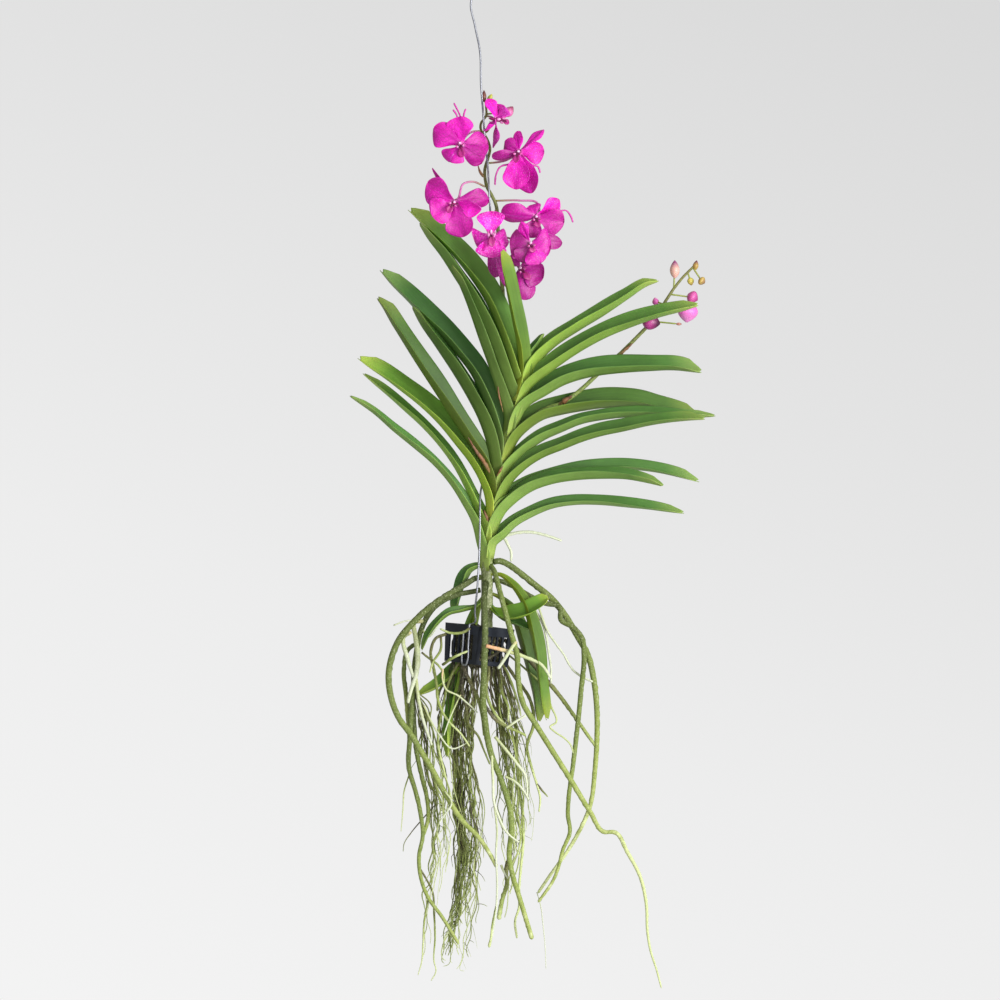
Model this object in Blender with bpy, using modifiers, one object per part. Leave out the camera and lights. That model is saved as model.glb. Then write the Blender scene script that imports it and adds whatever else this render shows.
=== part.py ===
"""A vanda orchid that hangs bare-rooted from a bent wire, in a small slotted basket.

Units are metres, +Z is up, and the viewer looks along +Y. The origin is the middle of
the wire at the crown of its hook. Outlines are set out by hand on a front drawing: one
step of the drawing is 1.2 mm, columns count to the right, rows count down, and the
hook's crown is at column 470 and row -40. Depth is in millimetres, away from the viewer.
"""

import math
import random

import bmesh
import bpy
import numpy as np
from mathutils import Matrix, Vector

# Driving dimensions, in metres unless a name says otherwise.
STEP = 0.0012
HOOK_COLUMN = 470
HOOK_ROW = -40
MM = 0.001
GAP = 0.0003
LEAF_THICKNESS = 0.0016
PETAL_THICKNESS = 0.0009
LEAF_FOLD_BASE_DEG = 32
LEAF_FOLD_TIP_DEG = 60
STEM_RADIUS = 0.0068
STALK_RADIUS = 0.0026
WIRE_RADIUS = 0.0012
HOOK_RADIUS = 12.5  # in steps of the drawing
HOOK_FROM_DEG = 210
HOOK_TO_DEG = -30
BASKET_TOP = 0.059
BASKET_BOTTOM = 0.054
BASKET_HEIGHT = 0.046
BASKET_WALL = 0.0022
BASKET_CENTRE = (478, 645)
BASKET_YAW_DEG = 43
BASKET_LEAN_DEG = 6
SLOTS_A_SIDE = 5
SLOT_WIDTH = 0.0065
SLOT_HEIGHT = 0.030
ROOT_BALL_RADIUS = 0.019
SEED = 11

for old in list(bpy.data.objects):
    bpy.data.objects.remove(old, do_unlink=True)

PLANT = bpy.data.collections.new("vanda_orchid")
CUTTERS = bpy.data.collections.new("vanda_orchid_cutters")
for kept in (PLANT, CUTTERS):
    bpy.context.scene.collection.children.link(kept)


def make_material(name, colour, roughness, metallic=0.0):
    """A Principled material from an 8-bit sRGB colour."""
    material = bpy.data.materials.new(name)
    material.use_nodes = True
    linear = []
    for value in colour:
        part = value / 255
        linear.append(part / 12.92 if part <= 0.04045 else ((part + 0.055) / 1.055) ** 2.4)
    shader = material.node_tree.nodes["Principled BSDF"]
    shader.inputs["Base Color"].default_value = (*linear, 1.0)
    shader.inputs["Roughness"].default_value = roughness
    shader.inputs["Metallic"].default_value = metallic
    material.diffuse_color = (*linear, 1.0)
    return material


LEAF_GREEN = make_material("leaf_green", (96, 146, 62), 0.42)
ROOT_GREEN = make_material("root_green", (134, 152, 72), 0.62)
ROOT_BROWN = make_material("root_brown", (112, 112, 84), 0.75)
MAGENTA = make_material("bloom_magenta", (216, 42, 176), 0.5)
BLACK_PLASTIC = make_material("basket_black_plastic", (44, 47, 62), 0.45)
ZINC_WIRE = make_material("zinc_wire", (176, 178, 186), 0.35, 1.0)


def place(column, row, depth=0.0):
    """The point of the front drawing at a column, a row and a depth in millimetres."""
    across = (column - HOOK_COLUMN) * STEP
    return Vector((across, depth * MM, -(row - HOOK_ROW) * STEP))


class Line:
    """A smooth line through hand-set points, read by the fraction of its length."""

    def __init__(self, points, swing=0.0):
        knots = np.array([tuple(place(*point)) for point in points])
        chords = np.linalg.norm(np.diff(knots, axis=0), axis=1)[:, None]
        slopes = np.diff(knots, axis=0) / chords
        inner = (slopes[:-1] * chords[1:] + slopes[1:] * chords[:-1]) / (chords[1:] + chords[:-1])
        slopes = np.vstack([slopes[:1], inner, slopes[-1:]])
        t = np.linspace(0, 1, 16, endpoint=False)[:, None]
        runs = []
        for i, chord in enumerate(chords):
            start, end = knots[i], knots[i + 1]
            ease = 3 * t**2 - 2 * t**3
            out = (t**3 - 2 * t**2 + t) * chord * slopes[i]
            home = (t**3 - t**2) * chord * slopes[i + 1]
            runs.append(start + (end - start) * ease + out + home)
        runs.append(knots[-1:])
        self.points = np.vstack(runs)
        steps = np.linalg.norm(np.diff(self.points, axis=0), axis=1)
        self.lengths = np.concatenate([[0.0], np.cumsum(steps)])
        self.length = self.lengths[-1]
        self.knots = self.lengths[::16] / self.length
        self.points[:, 1] += swing * MM * (self.lengths / self.length) ** 1.3

    def at(self, s):
        """The point at fraction s of the length; beyond the ends it runs straight on."""
        inside = min(max(s, 0.0), 1.0)
        reach = inside * self.length
        spot = Vector([np.interp(reach, self.lengths, self.points[:, k]) for k in range(3)])
        return spot + self.heading(inside) * (s - inside) * self.length

    def heading(self, s):
        """The unit direction of travel at fraction s."""
        low, high = max(s - 0.02, 0.0), min(s + 0.02, 1.0)
        reach = np.array([low, high]) * self.length
        ends = [np.interp(reach, self.lengths, self.points[:, k]) for k in range(3)]
        return Vector([end[1] - end[0] for end in ends]).normalized()


def drop_scraps(bm):
    """Delete all but the largest connected body of the mesh."""
    bodies = []
    seen = set()
    for vert in bm.verts:
        if vert in seen:
            continue
        body, queue = [], [vert]
        seen.add(vert)
        while queue:
            here = queue.pop()
            body.append(here)
            for edge in here.link_edges:
                other = edge.other_vert(here)
                if other not in seen:
                    seen.add(other)
                    queue.append(other)
        bodies.append(body)
    for body in sorted(bodies, key=len)[:-1]:
        bmesh.ops.delete(bm, geom=body, context="VERTS")


def settled(obj, name, material, flatten=False):
    """The object's evaluated shape as one welded mesh object; the first is removed.

    With flatten, the slivers that a union leaves on one flat face are joined again.
    """
    bpy.context.view_layer.update()
    graph = bpy.context.evaluated_depsgraph_get()
    mesh = bpy.data.meshes.new_from_object(obj.evaluated_get(graph))
    bm = bmesh.new()
    bm.from_mesh(mesh)
    if not flatten:
        bmesh.ops.remove_doubles(bm, verts=bm.verts, dist=2e-6)
    for angle in (4.0, 2.0, 0.8) if flatten else ():
        flat = bm.copy()
        bmesh.ops.dissolve_limit(
            flat, angle_limit=math.radians(angle), verts=flat.verts, edges=flat.edges,
        )
        bmesh.ops.triangulate(flat, faces=flat.faces)
        drop_scraps(flat)
        if all(edge.is_manifold for edge in flat.edges):
            bm.free()
            bm = flat
            break
        flat.free()
    bmesh.ops.triangulate(bm, faces=bm.faces)
    bmesh.ops.recalc_face_normals(bm, faces=bm.faces)
    bm.to_mesh(mesh)
    bm.free()
    mesh.materials.clear()
    mesh.materials.append(material)
    matrix = obj.matrix_world.copy()
    bpy.data.objects.remove(obj, do_unlink=True)
    made = bpy.data.objects.new(name, mesh)
    made.matrix_world = matrix
    PLANT.objects.link(made)
    return made


def fuse(name, pieces, material, solver="EXACT"):
    """Join overlapping closed pieces into one body by a Boolean union."""
    first, *rest = pieces
    if not rest:
        return settled(first, name, material)
    group = bpy.data.collections.new(name + "_pieces")
    bpy.context.scene.collection.children.link(group)
    for piece in rest:
        PLANT.objects.unlink(piece)
        group.objects.link(piece)
    union = first.modifiers.new("union", "BOOLEAN")
    union.operation = "UNION"
    union.operand_type = "COLLECTION"
    union.collection = group
    union.solver = solver
    made = settled(first, name, material, True)
    for piece in rest:
        bpy.data.objects.remove(piece, do_unlink=True)
    bpy.data.collections.remove(group)
    return made


def blade(name, shape, across, along, thickness, material):
    """A thin closed blade: a grid bent by shape(u, v), with thickness on both sides.

    u runs from -1 to 1 across the blade and v from 0 to 1 along it.
    """
    bm = bmesh.new()
    bmesh.ops.create_grid(bm, x_segments=across, y_segments=along, size=1.0)
    for vert in bm.verts:
        vert.co = shape(vert.co.x, (vert.co.y + 1) / 2)
    bmesh.ops.triangulate(bm, faces=bm.faces, quad_method="FIXED")
    mesh = bpy.data.meshes.new(name)
    bm.to_mesh(mesh)
    bm.free()
    obj = bpy.data.objects.new(name, mesh)
    PLANT.objects.link(obj)
    skin = obj.modifiers.new("thickness", "SOLIDIFY")
    skin.thickness = thickness
    skin.offset = 0.0
    return settled(obj, name, material)


def stations(line, a_run):
    """Fractions of the line's length: its hand-set points, and even steps between them."""
    marks = []
    for start, end in zip(line.knots[:-1], line.knots[1:]):
        marks.extend(start + (end - start) * k / a_run for k in range(a_run))
    return marks + [1.0]


def tube(name, line, radii, marks, level=2):
    """A round rod along the line, whose radius passes through the given values."""
    data = bpy.data.curves.new(name, "CURVE")
    data.dimensions = "3D"
    data.bevel_depth = 1.0
    data.bevel_resolution = level
    data.use_fill_caps = True
    spline = data.splines.new("POLY")
    spline.points.add(len(marks) - 1)
    spread = np.linspace(0, 1, len(radii))
    for s, point in zip(marks, spline.points):
        point.co = (*line.at(s), 1.0)
        point.radius = float(np.interp(s, spread, radii))
    obj = bpy.data.objects.new(name, data)
    PLANT.objects.link(obj)
    return obj


def rod(name, points, radii, count, material, level=2):
    """A closed mesh rod through hand-set points of the drawing."""
    marks = np.linspace(0, 1, count)
    return settled(tube(name, Line(points), radii, marks, level), name, material)


def bud(name, centre, tip, width, material):
    """An egg-shaped bud that points from its centre to its tip."""
    axis = tip - centre
    bm = bmesh.new()
    turn = axis.to_track_quat("Z", "Y").to_matrix().to_4x4()
    size = Matrix.Diagonal((width / 2, width / 2, axis.length, 1.0))
    bmesh.ops.create_uvsphere(
        bm, u_segments=6, v_segments=4, radius=1.0,
        matrix=Matrix.Translation(centre) @ turn @ size,
    )
    mesh = bpy.data.meshes.new(name)
    bm.to_mesh(mesh)
    bm.free()
    obj = bpy.data.objects.new(name, mesh)
    PLANT.objects.link(obj)
    return settled(obj, name, material)


# Leaves. Each is a strap folded along its keel, with the open side of the fold up and
# towards the stem, and a tip bitten off into two unequal lobes.

def leaf_shape(line, half_width, roll_deg, side, base=0.5):
    """The surface of a folded strap leaf, for blade().

    half_width is from keel to margin, and base is the part of it that the leaf has where
    it leaves the stem. side is 1 for a leaf that arches to the right and -1 for one that
    arches to the left. The roll turns the fold about its keel, so that a negative one
    shows the viewer the outside of the near half.
    """
    roll = math.radians(roll_deg)
    profile = ([0.0, 0.12, 0.35, 0.8, 0.95, 1.0], [base, 0.66, 1.0, 0.94, 0.72, 0.46])
    lobes = ([-1.0, -0.5, 0.0, 0.5, 1.0], [0.06, 0.0, 0.028, 0.012, 0.08])

    def shape(u, v):
        s = v - np.interp(u, *lobes) * v**8
        width = half_width * np.interp(s, *profile)
        fold = math.radians(LEAF_FOLD_BASE_DEG + (LEAF_FOLD_TIP_DEG - LEAF_FOLD_BASE_DEG) * s)
        heading = line.heading(s)
        back = Vector((0, 1, 0))
        back = (back - heading * back.dot(heading)).normalized()
        upper = heading.cross(back) * side
        opening = upper * math.cos(roll) + back * math.sin(roll)
        breadth = upper * math.sin(roll) - back * math.cos(roll)
        rounding = 0.1
        rise = math.sqrt(u * u + rounding**2) - rounding
        near = math.cos(fold - roll)
        far = math.cos(fold + roll)
        middle = 0.5 * (max(near, far, 0) + min(near, far, 0))
        spot = line.at(s) - upper * width * middle
        spot += opening * width * rise * math.cos(fold)
        return spot - breadth * width * u * math.sin(fold)

    return shape


# name, side, half width in mm, roll, swing of the tip in mm, keel points from the stem
LEAVES = [
    ("right_1", 1, 12, -25, -12, [(490, 540), (500, 532), (512, 521), (530, 511),
     (550, 503), (575, 499), (600, 499), (630, 502), (660, 506), (684, 511)]),
    ("right_2", 1, 17, -12, -42, [(493, 520), (500, 508), (510, 498), (530, 484),
     (550, 477), (575, 473), (600, 472), (630, 474), (650, 479), (663, 484)]),
    ("right_3", 1, 13, -28, 22, [(496, 503), (510, 492), (530, 480), (550, 473),
     (575, 467), (600, 464), (630, 463), (660, 467), (680, 472), (700, 479)]),
    ("right_4", 1, 15, -22, -46, [(497, 497), (505, 480), (520, 464), (540, 451),
     (560, 443), (580, 435), (600, 429), (620, 425), (650, 419), (690, 416), (704, 417)]),
    ("right_5", 1, 14, -16, -4, [(500, 474), (508, 462), (520, 450), (540, 435),
     (560, 426), (580, 418), (600, 414), (630, 411), (660, 411), (690, 413), (715, 414)]),
    ("right_6", 1, 20, -24, 46, [(506, 446), (512, 434), (522, 424), (540, 412),
     (560, 405), (580, 400), (600, 397), (620, 396), (640, 397), (660, 402), (703, 414)]),
    ("right_7", 1, 19, -22, -10, [(512, 418), (518, 405), (526, 396), (540, 386),
     (560, 376), (580, 369), (600, 365), (620, 363), (650, 362), (680, 363), (702, 369)]),
    ("right_8", 1, 18, -22, -30, [(519, 396), (524, 384), (532, 376), (545, 366),
     (570, 348), (600, 331), (630, 319), (660, 310), (697, 303)]),
    ("right_9", 1, 17, -16, 26, [(525, 376), (528, 366), (535, 356), (550, 341),
     (575, 324), (600, 309), (625, 293), (645, 281), (658, 278)]),
    ("right_10", 1, 9, -15, 4, [(527, 366), (530, 352), (536, 342), (543, 333)]),
    ("centre_1", -1, 14, -34, -50, [(525, 376), (525, 352), (520, 322), (514, 292),
     (509, 270), (504, 251)]),
    ("left_1", -1, 21, -30, 12, [(523, 384), (519, 366), (513, 343), (506, 322),
     (495, 296), (479, 271), (459, 247), (439, 228), (420, 212), (411, 206)]),
    ("left_2", -1, 19, -4, -20, [(517, 404), (510, 380), (500, 352), (489, 325),
     (474, 296), (460, 275), (444, 252), (430, 235), (421, 223)]),
    ("left_3", -1, 15, -2, -40, [(511, 420), (504, 395), (495, 368), (484, 338),
     (473, 308), (463, 285), (453, 266)]),
    ("left_4", -1, 20, -28, 22, [(504, 440), (499, 418), (490, 392), (479, 368),
     (466, 350), (449, 330), (430, 311), (410, 291), (391, 274), (383, 267)]),
    ("left_5", -1, 19, -6, -16, [(498, 466), (494, 443), (486, 418), (474, 394),
     (458, 368), (441, 344), (426, 324), (414, 306)]),
    ("left_6", -1, 18, -22, -46, [(495, 484), (489, 462), (474, 437), (458, 412),
     (440, 384), (420, 354), (400, 324), (388, 306), (380, 297)]),
    ("left_7", -1, 18, -30, 4, [(494, 501), (488, 479), (477, 458), (462, 438),
     (445, 417), (425, 398), (405, 383), (385, 369), (360, 355)]),
    ("left_8", -1, 11, -20, 32, [(490, 531), (482, 512), (471, 488), (458, 464),
     (443, 443), (425, 423), (405, 405), (385, 388), (364, 372)]),
    ("left_9", -1, 11, -14, -6, [(487, 553), (483, 540), (477, 520), (466, 500),
     (452, 479), (435, 460), (415, 443), (395, 427), (375, 410), (351, 395)]),
]

# The plant's lower leaves, some of them bent or torn, arch out round the basket.
LOWER_LEAVES = [
    ("lower_right_1", 1, 10, -30, 0, [(489, 574, 0), (500, 574, -8), (513, 583, -14),
     (526, 600, -18), (535, 625, -22), (541, 652, -20), (544, 684, -16), (549, 719, -12)]),
    ("lower_right_2", 1, 14, -30, 0, [(489, 592, 0), (502, 598, 8), (516, 614, 16),
     (527, 642, 22), (535, 672, 22), (540, 700, 18), (541, 722, 14)]),
    ("lower_right_3", 1, 10, -34, 0, [(489, 606, 0), (499, 611, -10), (511, 611, -20),
     (525, 607, -28), (538, 600, -32), (547, 595, -33)]),
    ("lower_right_4", 1, 8, -30, 0, [(489, 601, 0), (497, 611, -4), (509, 618, -10),
     (521, 622, -14), (534, 629, -16)]),
    ("lower_left_1", -1, 11, -26, 0, [(487, 568, 0), (478, 565, 6), (469, 568, 8),
     (461, 579, 10), (456, 594, 10), (454, 606, 8), (455, 612, 6)]),
    ("lower_left_2", -1, 7, -26, 0, [(487, 597, 0), (476, 605, -10), (462, 608, -20),
     (448, 611, -28), (436, 621, -34), (426, 635, -34), (421, 649, -30)]),
    ("lower_left_3", -1, 10, -20, 0, [(488, 590, 0), (481, 600, 24), (471, 620, 50),
     (463, 648, 58), (455, 678, 52), (449, 704, 42), (446, 730, 32), (446, 757, 26)]),
    ("lower_left_4", -1, 9, -20, 0, [(488, 594, 0), (478, 600, 22), (455, 616, 44),
     (438, 645, 46), (430, 668, 36), (424, 684, 26), (417, 693, 18)]),
]

STEM = [(527, 362), (522, 385), (515, 405), (510, 430), (503, 455), (500, 480),
        (496, 500), (492, 520), (488, 540), (487, 560), (487, 600), (486, 649.2)]

FLOWER_STALK = [(512, 404, 0), (509, 370, 8), (505, 320, 12), (501, 270, 12),
                (498, 230, 8), (495, 202, 4), (491, 194, 3), (487, 187, 3), (485, 178, 3),
                (485, 168, 3), (488, 158, 3), (490, 149, 3), (488, 141, 3), (484, 134, 3),
                (481, 130, 3), (481, 123, 3), (486, 116, 3), (486, 106, 3), (484, 92, 3)]

BUD_SPIKE = [(507, 437, 0), (526, 422, 4), (548, 408, 8), (562, 403, 10), (574, 395, 13),
             (600, 372, 16), (622, 352, 16), (640, 334, 14), (655, 318, 12),
             (667, 299, 12), (675, 287, 12), (684, 276, 12), (692, 268, 12), (697, 263, 12)]

# centre, tip, width in steps, and the spot on the stalk that its short stem leaves from
BUDS = [
    ((484, 96, 3), (484, 90, 3), 5, (485, 102, 3)),
    ((490, 98, 0), (492, 94, -1), 5, (486, 106, 3)),
    ((509, 111, 12), (513, 106, 12), 10, (486, 114, 3)),
    ((675, 269, 10), (675, 260, 10), 10, (674, 288, 12)),
    ((696, 265, 12), (697, 260, 12), 6, (692, 268, 12)),
    ((702, 281, 6), (705, 283, 5), 9, (693, 267, 12)),
    ((691, 281, 16), (692, 285, 17), 7, (688, 272, 12)),
    ((693, 297, 14), (698, 300, 14), 11, (670, 294, 12)),
    ((688, 312, 20), (687, 322, 20), 20, (665, 302, 12)),
    ((656, 301, 20), (655, 297, 20), 7, (664, 304, 12)),
    ((651, 322, -2), (658, 324, -4), 13, (648, 326, 13)),
    ((679, 324, 2), (682, 324, 2), 3, (652, 321, 12)),
]


def build_shoot():
    """The stem with its leaves, flower stalk and bud spike, as one grown body."""
    pieces = [rod("stem", STEM, [0.0050, STEM_RADIUS, STEM_RADIUS, 0.0072], 12, LEAF_GREEN, 3)]
    for name, side, width, roll, swing, keel in LEAVES:
        shape = leaf_shape(Line(keel, swing), width * MM, roll, side)
        pieces.append(blade(name, shape, 4, 6, LEAF_THICKNESS, LEAF_GREEN))
    for name, side, width, roll, swing, keel in LOWER_LEAVES:
        shape = leaf_shape(Line(keel, swing), width * MM, roll, side, 0.3)
        pieces.append(blade(name, shape, 4, 5, LEAF_THICKNESS, LEAF_GREEN))
    pieces.append(rod("stalk", FLOWER_STALK, [0.0032, STALK_RADIUS, 0.0020, 0.0012], 24,
                      LEAF_GREEN, 1))
    pieces.append(rod("spike", BUD_SPIKE, [0.0032, STALK_RADIUS, 0.0022, 0.0014], 14,
                      LEAF_GREEN, 1))
    for i, (centre, tip, width, root) in enumerate(BUDS):
        pieces.append(bud(f"bud_{i}", place(*centre), place(*tip), width * STEP, LEAF_GREEN))
        pieces.append(rod(f"bud_stem_{i}", [root, centre], [0.0011, 0.0009], 2, LEAF_GREEN, 0))
    return fuse("leafy_shoot", pieces, LEAF_GREEN, "MANIFOLD")


# Blooms. Each sepal or petal is a blade from the bloom's centre to its own tip.

def petal_shape(centre, tip, facing, width, bulge, roll_deg):
    """The surface of a clawed, blunt petal that is cupped towards the bloom's front."""
    run = tip - centre
    along = run.normalized()
    side = along.cross(facing).normalized()
    front = side.cross(along)
    roll = math.radians(roll_deg)
    across = side * math.cos(roll) + front * math.sin(roll)
    normal = front * math.cos(roll) - side * math.sin(roll)
    outline = ([0.0, 0.2, 0.42, 0.66, 0.85, 0.96, 1.0], [0.2, 0.42, 0.8, 1.0, 0.9, 0.62, 0.4])

    def shape(u, v):
        reach = 1 - (1 - v) ** 1.25
        half = 0.5 * width * np.interp(reach, *outline)
        lift = bulge * math.sin(math.pi * reach) - 0.12 * half * u * u
        return centre + run * reach + across * half * u + normal * lift

    return shape


# name: centre, facing, petals (tip, width in steps, bulge in mm, roll), lip tip,
# pedicel from the bloom to the stalk, and thin tails
BLOOMS = {
    "bloom_1": ((461, 146, -34), (-0.25, -1, 0.1), [
        ((462, 118, -34), 24, 3, 0), ((434, 129, -30), 24, 3, 8),
        ((450, 164, -38), 24, 2, -10), ((489, 145, -22), 24, 2, 10),
        ((483, 163, -26), 22, 2, -10)], (463, 159, -44),
        [(464, 140, -28), (473, 132, -8), (480.5, 131, 1.6)],
        [[(462, 122, -32), (459, 114, -28), (454, 104, -24)],
         [(458, 120, -31), (456, 115, -30), (453, 111, -30)],
         [(464, 121, -31), (464, 116, -28), (466, 110, -26)]]),
    "bloom_2": ((497, 120, -12), (1, -0.45, -0.1), [
        ((488, 99, -8), 11, 1, 20), ((501, 104, -16), 17, 2, -30),
        ((484, 131, -18), 16, 2, 20), ((492, 148, -8), 11, 2, 10),
        ((500, 110, -2), 13, 2, 0)], (509, 124, -14),
        [(494, 119, -9), (491, 117, -2), (487.2, 116, 2.4)], []),
    "bloom_3": ((519, 153, -26), (-0.3, -1, -0.15), [
        ((518, 132, -24), 13, 2, 25), ((544, 131, -20), 11, 1, 45),
        ((544, 153, -24), 21, 2, 0), ((492, 158, -22), 13, 3, 35),
        ((514, 190, -32), 25, 3, 8), ((533, 194, -28), 25, 3, -8),
        ((505, 142, -24), 16, 2, 10)], (516, 164, -38),
        [(515, 156, -20), (505, 161, -8), (495, 162.5, 1), (488.8, 163, 2.2)],
        [[(512, 164, -26), (500, 168, -24), (496, 176, -22), (495, 186, -20)],
         [(532, 166, -27), (538, 168, -26), (540, 174, -25)]]),
    "bloom_4": ((455, 203, -32), (-0.3, -1, -0.35), [
        ((427, 184, -28), 28, 3, 0), ((432, 169, -20), 7, 0, 30),
        ((482, 209, -40), 20, 4, -25), ((489, 200, -16), 20, 2, 0),
        ((432, 217, -34), 26, 2, 0), ((464, 238, -30), 26, 2, 10)], (448, 214, -42),
        [(458, 200, -26), (464, 184, -12), (474, 182, -4), (484.8, 186.6, 0.9)], []),
    "bloom_5": ((491, 236, -30), (0.1, -0.75, 0.65), [
        ((490, 212, -26), 26, 5, 0), ((476, 246, -28), 26, 3, 0),
        ((491, 259, -32), 28, 3, 0), ((508, 243, -20), 22, 3, 0),
        ((497, 278, -14), 17, 2, 0), ((506, 287, -6), 9, 1, 0)], (492, 248, -40),
        [(492, 234, -24), (493, 222, -12), (495.7, 210, 1.8)], []),
    "bloom_6": ((536, 217, -14), (0.1, -1, -0.35), [
        ((501, 213, -12), 24, 3, 20), ((560, 201, -8), 19, 2, -15),
        ((564, 224, -12), 24, 3, 10), ((531, 205, -8), 15, 2, 0),
        ((530, 238, -18), 18, 2, 0)], (538, 228, -24),
        [(539, 212, -9), (537, 203, -3), (520, 200.5, 1), (496.2, 200.6, 4)],
        [[(558, 212, -11), (566, 211, -10), (571, 217, -10), (573, 223, -10)]]),
    "bloom_7": ((530, 245, -40), (0.2, -1, 0.0), [
        ((510, 243, -34), 26, 3, 12), ((521, 223, -34), 10, 1, 30),
        ((551, 246, -38), 26, 3, 0), ((540, 265, -42), 22, 3, 0),
        ((562, 243, -28), 14, 2, 0), ((520, 263, -36), 18, 2, 0)], (533, 254, -48),
        [(528, 244, -33), (515, 240, -14), (500.8, 236, 6.9)], []),
    "bloom_8": ((520, 268, -14), (0.3, -1, -0.3), [
        ((543, 279, -14), 24, 3, 0), ((528, 300, -16), 22, 3, 0),
        ((512, 255, -10), 12, 1, 0), ((535, 262, -8), 16, 2, 0),
        ((515, 291, -8), 12, 2, 0)], (530, 280, -22),
        [(518, 266, -8), (510, 266, 2), (503.4, 267, 10.6)], []),
}


def build_bloom(name, centre, facing, petals, lip, pedicel, tails):
    """One bloom with its sepals, petals, lip, column and pedicel."""
    heart = place(*centre)
    front = Vector(facing).normalized()
    bm = bmesh.new()
    bmesh.ops.create_icosphere(
        bm, subdivisions=1, radius=0.0042, matrix=Matrix.Translation(heart),
    )
    mesh = bpy.data.meshes.new(name)
    bm.to_mesh(mesh)
    bm.free()
    core = bpy.data.objects.new(name + "_core", mesh)
    PLANT.objects.link(core)
    pieces = [settled(core, name + "_core", MAGENTA)]
    for i, (tip, width, bulge, roll) in enumerate(petals):
        end = place(*tip)
        start = heart + (end - heart).normalized() * 0.0026 - front * (0.001 * (i % 2))
        shape = petal_shape(start, end, front, width * STEP, bulge * MM, roll)
        across = 3 if width > 18 else 2
        pieces.append(blade(f"{name}_petal_{i}", shape, across, 4, PETAL_THICKNESS, MAGENTA))
    shape = petal_shape(heart + front * 0.002, place(*lip), front, 0.009, 0.001, 0)
    pieces.append(blade(name + "_lip", shape, 2, 2, 0.0016, MAGENTA))
    pieces.append(bud(name + "_column", heart + front * 0.003, heart + front * 0.0085,
                      0.0055, MAGENTA))
    line = Line([centre] + pedicel)
    pieces.append(settled(tube(name + "_pedicel", line, [0.0016, 0.0013, 0.0012],
                               stations(line, 2), 1), name + "_pedicel", MAGENTA))
    for i, tail in enumerate(tails):
        pieces.append(rod(f"{name}_tail_{i}", [centre] + tail, [0.0014, 0.0010, 0.0012], 6,
                          MAGENTA, 0))
    return fuse(name, pieces, MAGENTA, "MANIFOLD")


# Thick aerial roots: points, and radii in mm from the stem to the tip.
ROOTS = {
    "root_right_outer": ([(494.0, 562, 0), (499, 561, 1), (507, 564, 4), (520, 573, 8),
        (535, 585, 12), (550, 597, 14), (565, 615, 15), (577, 635, 15), (588, 655, 15),
        (594, 680, 15), (597, 710, 15), (597, 740, 15), (595, 770, 15), (590, 807, 15),
        (575, 840, 15), (560, 864, 15), (545, 890, 15), (537, 903, 15)], [4.2, 4.4, 4.0, 3.0]),
    "root_right_inner": ([(493.2, 580, 3), (500, 581, 6), (515, 587, 6), (530, 596, 4),
        (545, 603, 2), (560, 607, 0), (561, 620, -2), (573, 627, -2), (582, 638, -2),
        (584, 655, -2), (581, 690, -2), (577, 730, 0), (573, 765, 2), (569, 795, 2),
        (568, 815, 2), (570, 832, 2), (563, 850, 2)], [3.4, 3.6, 3.4, 2.6]),
    "root_front": ([(486, 583, -8.0), (486, 584, -13), (485, 590, -20), (484, 603, -32),
        (485, 620, -43),
        (485, 640, -48), (484, 670, -48), (483, 700, -44), (485, 719, -40), (489, 744, -36),
        (494, 761, -34), (500, 775, -32), (505, 790, -30), (510, 808, -28), (511, 834, -28),
        (509, 853, -28), (512, 872, -28), (518, 892, -28), (532, 938, -28)],
        [4.2, 4.4, 4.2, 3.6, 3.2]),
    "root_long": ([(491, 566, -7.4), (494, 570, -18), (498, 584, -34), (504, 606, -44),
        (511, 632, -44), (517, 655, -40), (518, 678, -34), (523, 703, -28), (535, 723, -24),
        (552, 750, -24), (571, 780, -24), (590, 811, -24), (604, 831, -24), (614, 831, -24),
        (627, 851, -24), (640, 876, -24), (646, 904, -24), (647, 930, -24), (650, 949, -24),
        (656, 968, -24), (661, 987, -24)], [3.6, 3.8, 3.6, 2.6, 1.8]),
    "root_left_outer": ([(481.0, 577, -3.4), (476, 578, -6), (466, 584, -11), (452, 592, -18),
        (438, 601, -24), (424, 612, -28), (411, 625, -30), (401, 637, -30), (393, 654, -30),
        (389, 675, -30), (391, 695, -30), (399, 717, -30), (412, 735, -30), (421, 750, -30),
        (433, 770, -30), (448, 797, -30), (463, 820, -30), (478, 835, -30), (489, 851, -30),
        (497, 866, -30)], [3.8, 4.4, 4.2, 3.8, 2.6]),
}

# The inner left root forks; its branches are fused to it.
FORKED_ROOT = [
    ([(480.2, 590, 2), (476, 591, 1), (460, 594, -4), (444, 600, -8), (430, 612, -10),
      (421, 630, -10), (416, 655, -10), (413, 690, -10), (410, 738, -8), (409, 767, -8),
      (416, 792, -8), (421, 815, -8), (423, 835, -8), (419, 856, -8), (421, 878, -8),
      (428, 897, -8), (441, 915, -8), (459, 944, -8)], [3.0, 3.4, 3.0, 2.4, 2.0]),
    ([(413, 690, -10), (414, 720, -4), (416, 748, 0), (422, 777, 2), (427, 798, 2),
      (428, 818, 1), (423, 836, -8)], [2.6, 2.8, 2.2]),
    ([(418, 642, -10), (408, 650, -4), (404, 670, 0), (406, 695, 2), (408, 720, 2),
      (410, 740, -7)], [2.4, 2.8, 2.6]),
]

PALE_ROOTS = [
    ([(425, 621, -10), (414, 630, -15), (418, 655, -17), (416, 675, -17), (411, 690, -16),
      (408, 703, -16)], [2.0, 2.3, 1.6]),
    ([(416, 676, -17), (419, 700, -16), (424, 722, -14), (432, 745, -14)], [1.8, 2.1, 1.4]),
    ([(422, 629, -10), (428, 636, -18), (440, 622, -24)], [1.5, 1.5, 1.0]),
]


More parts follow.
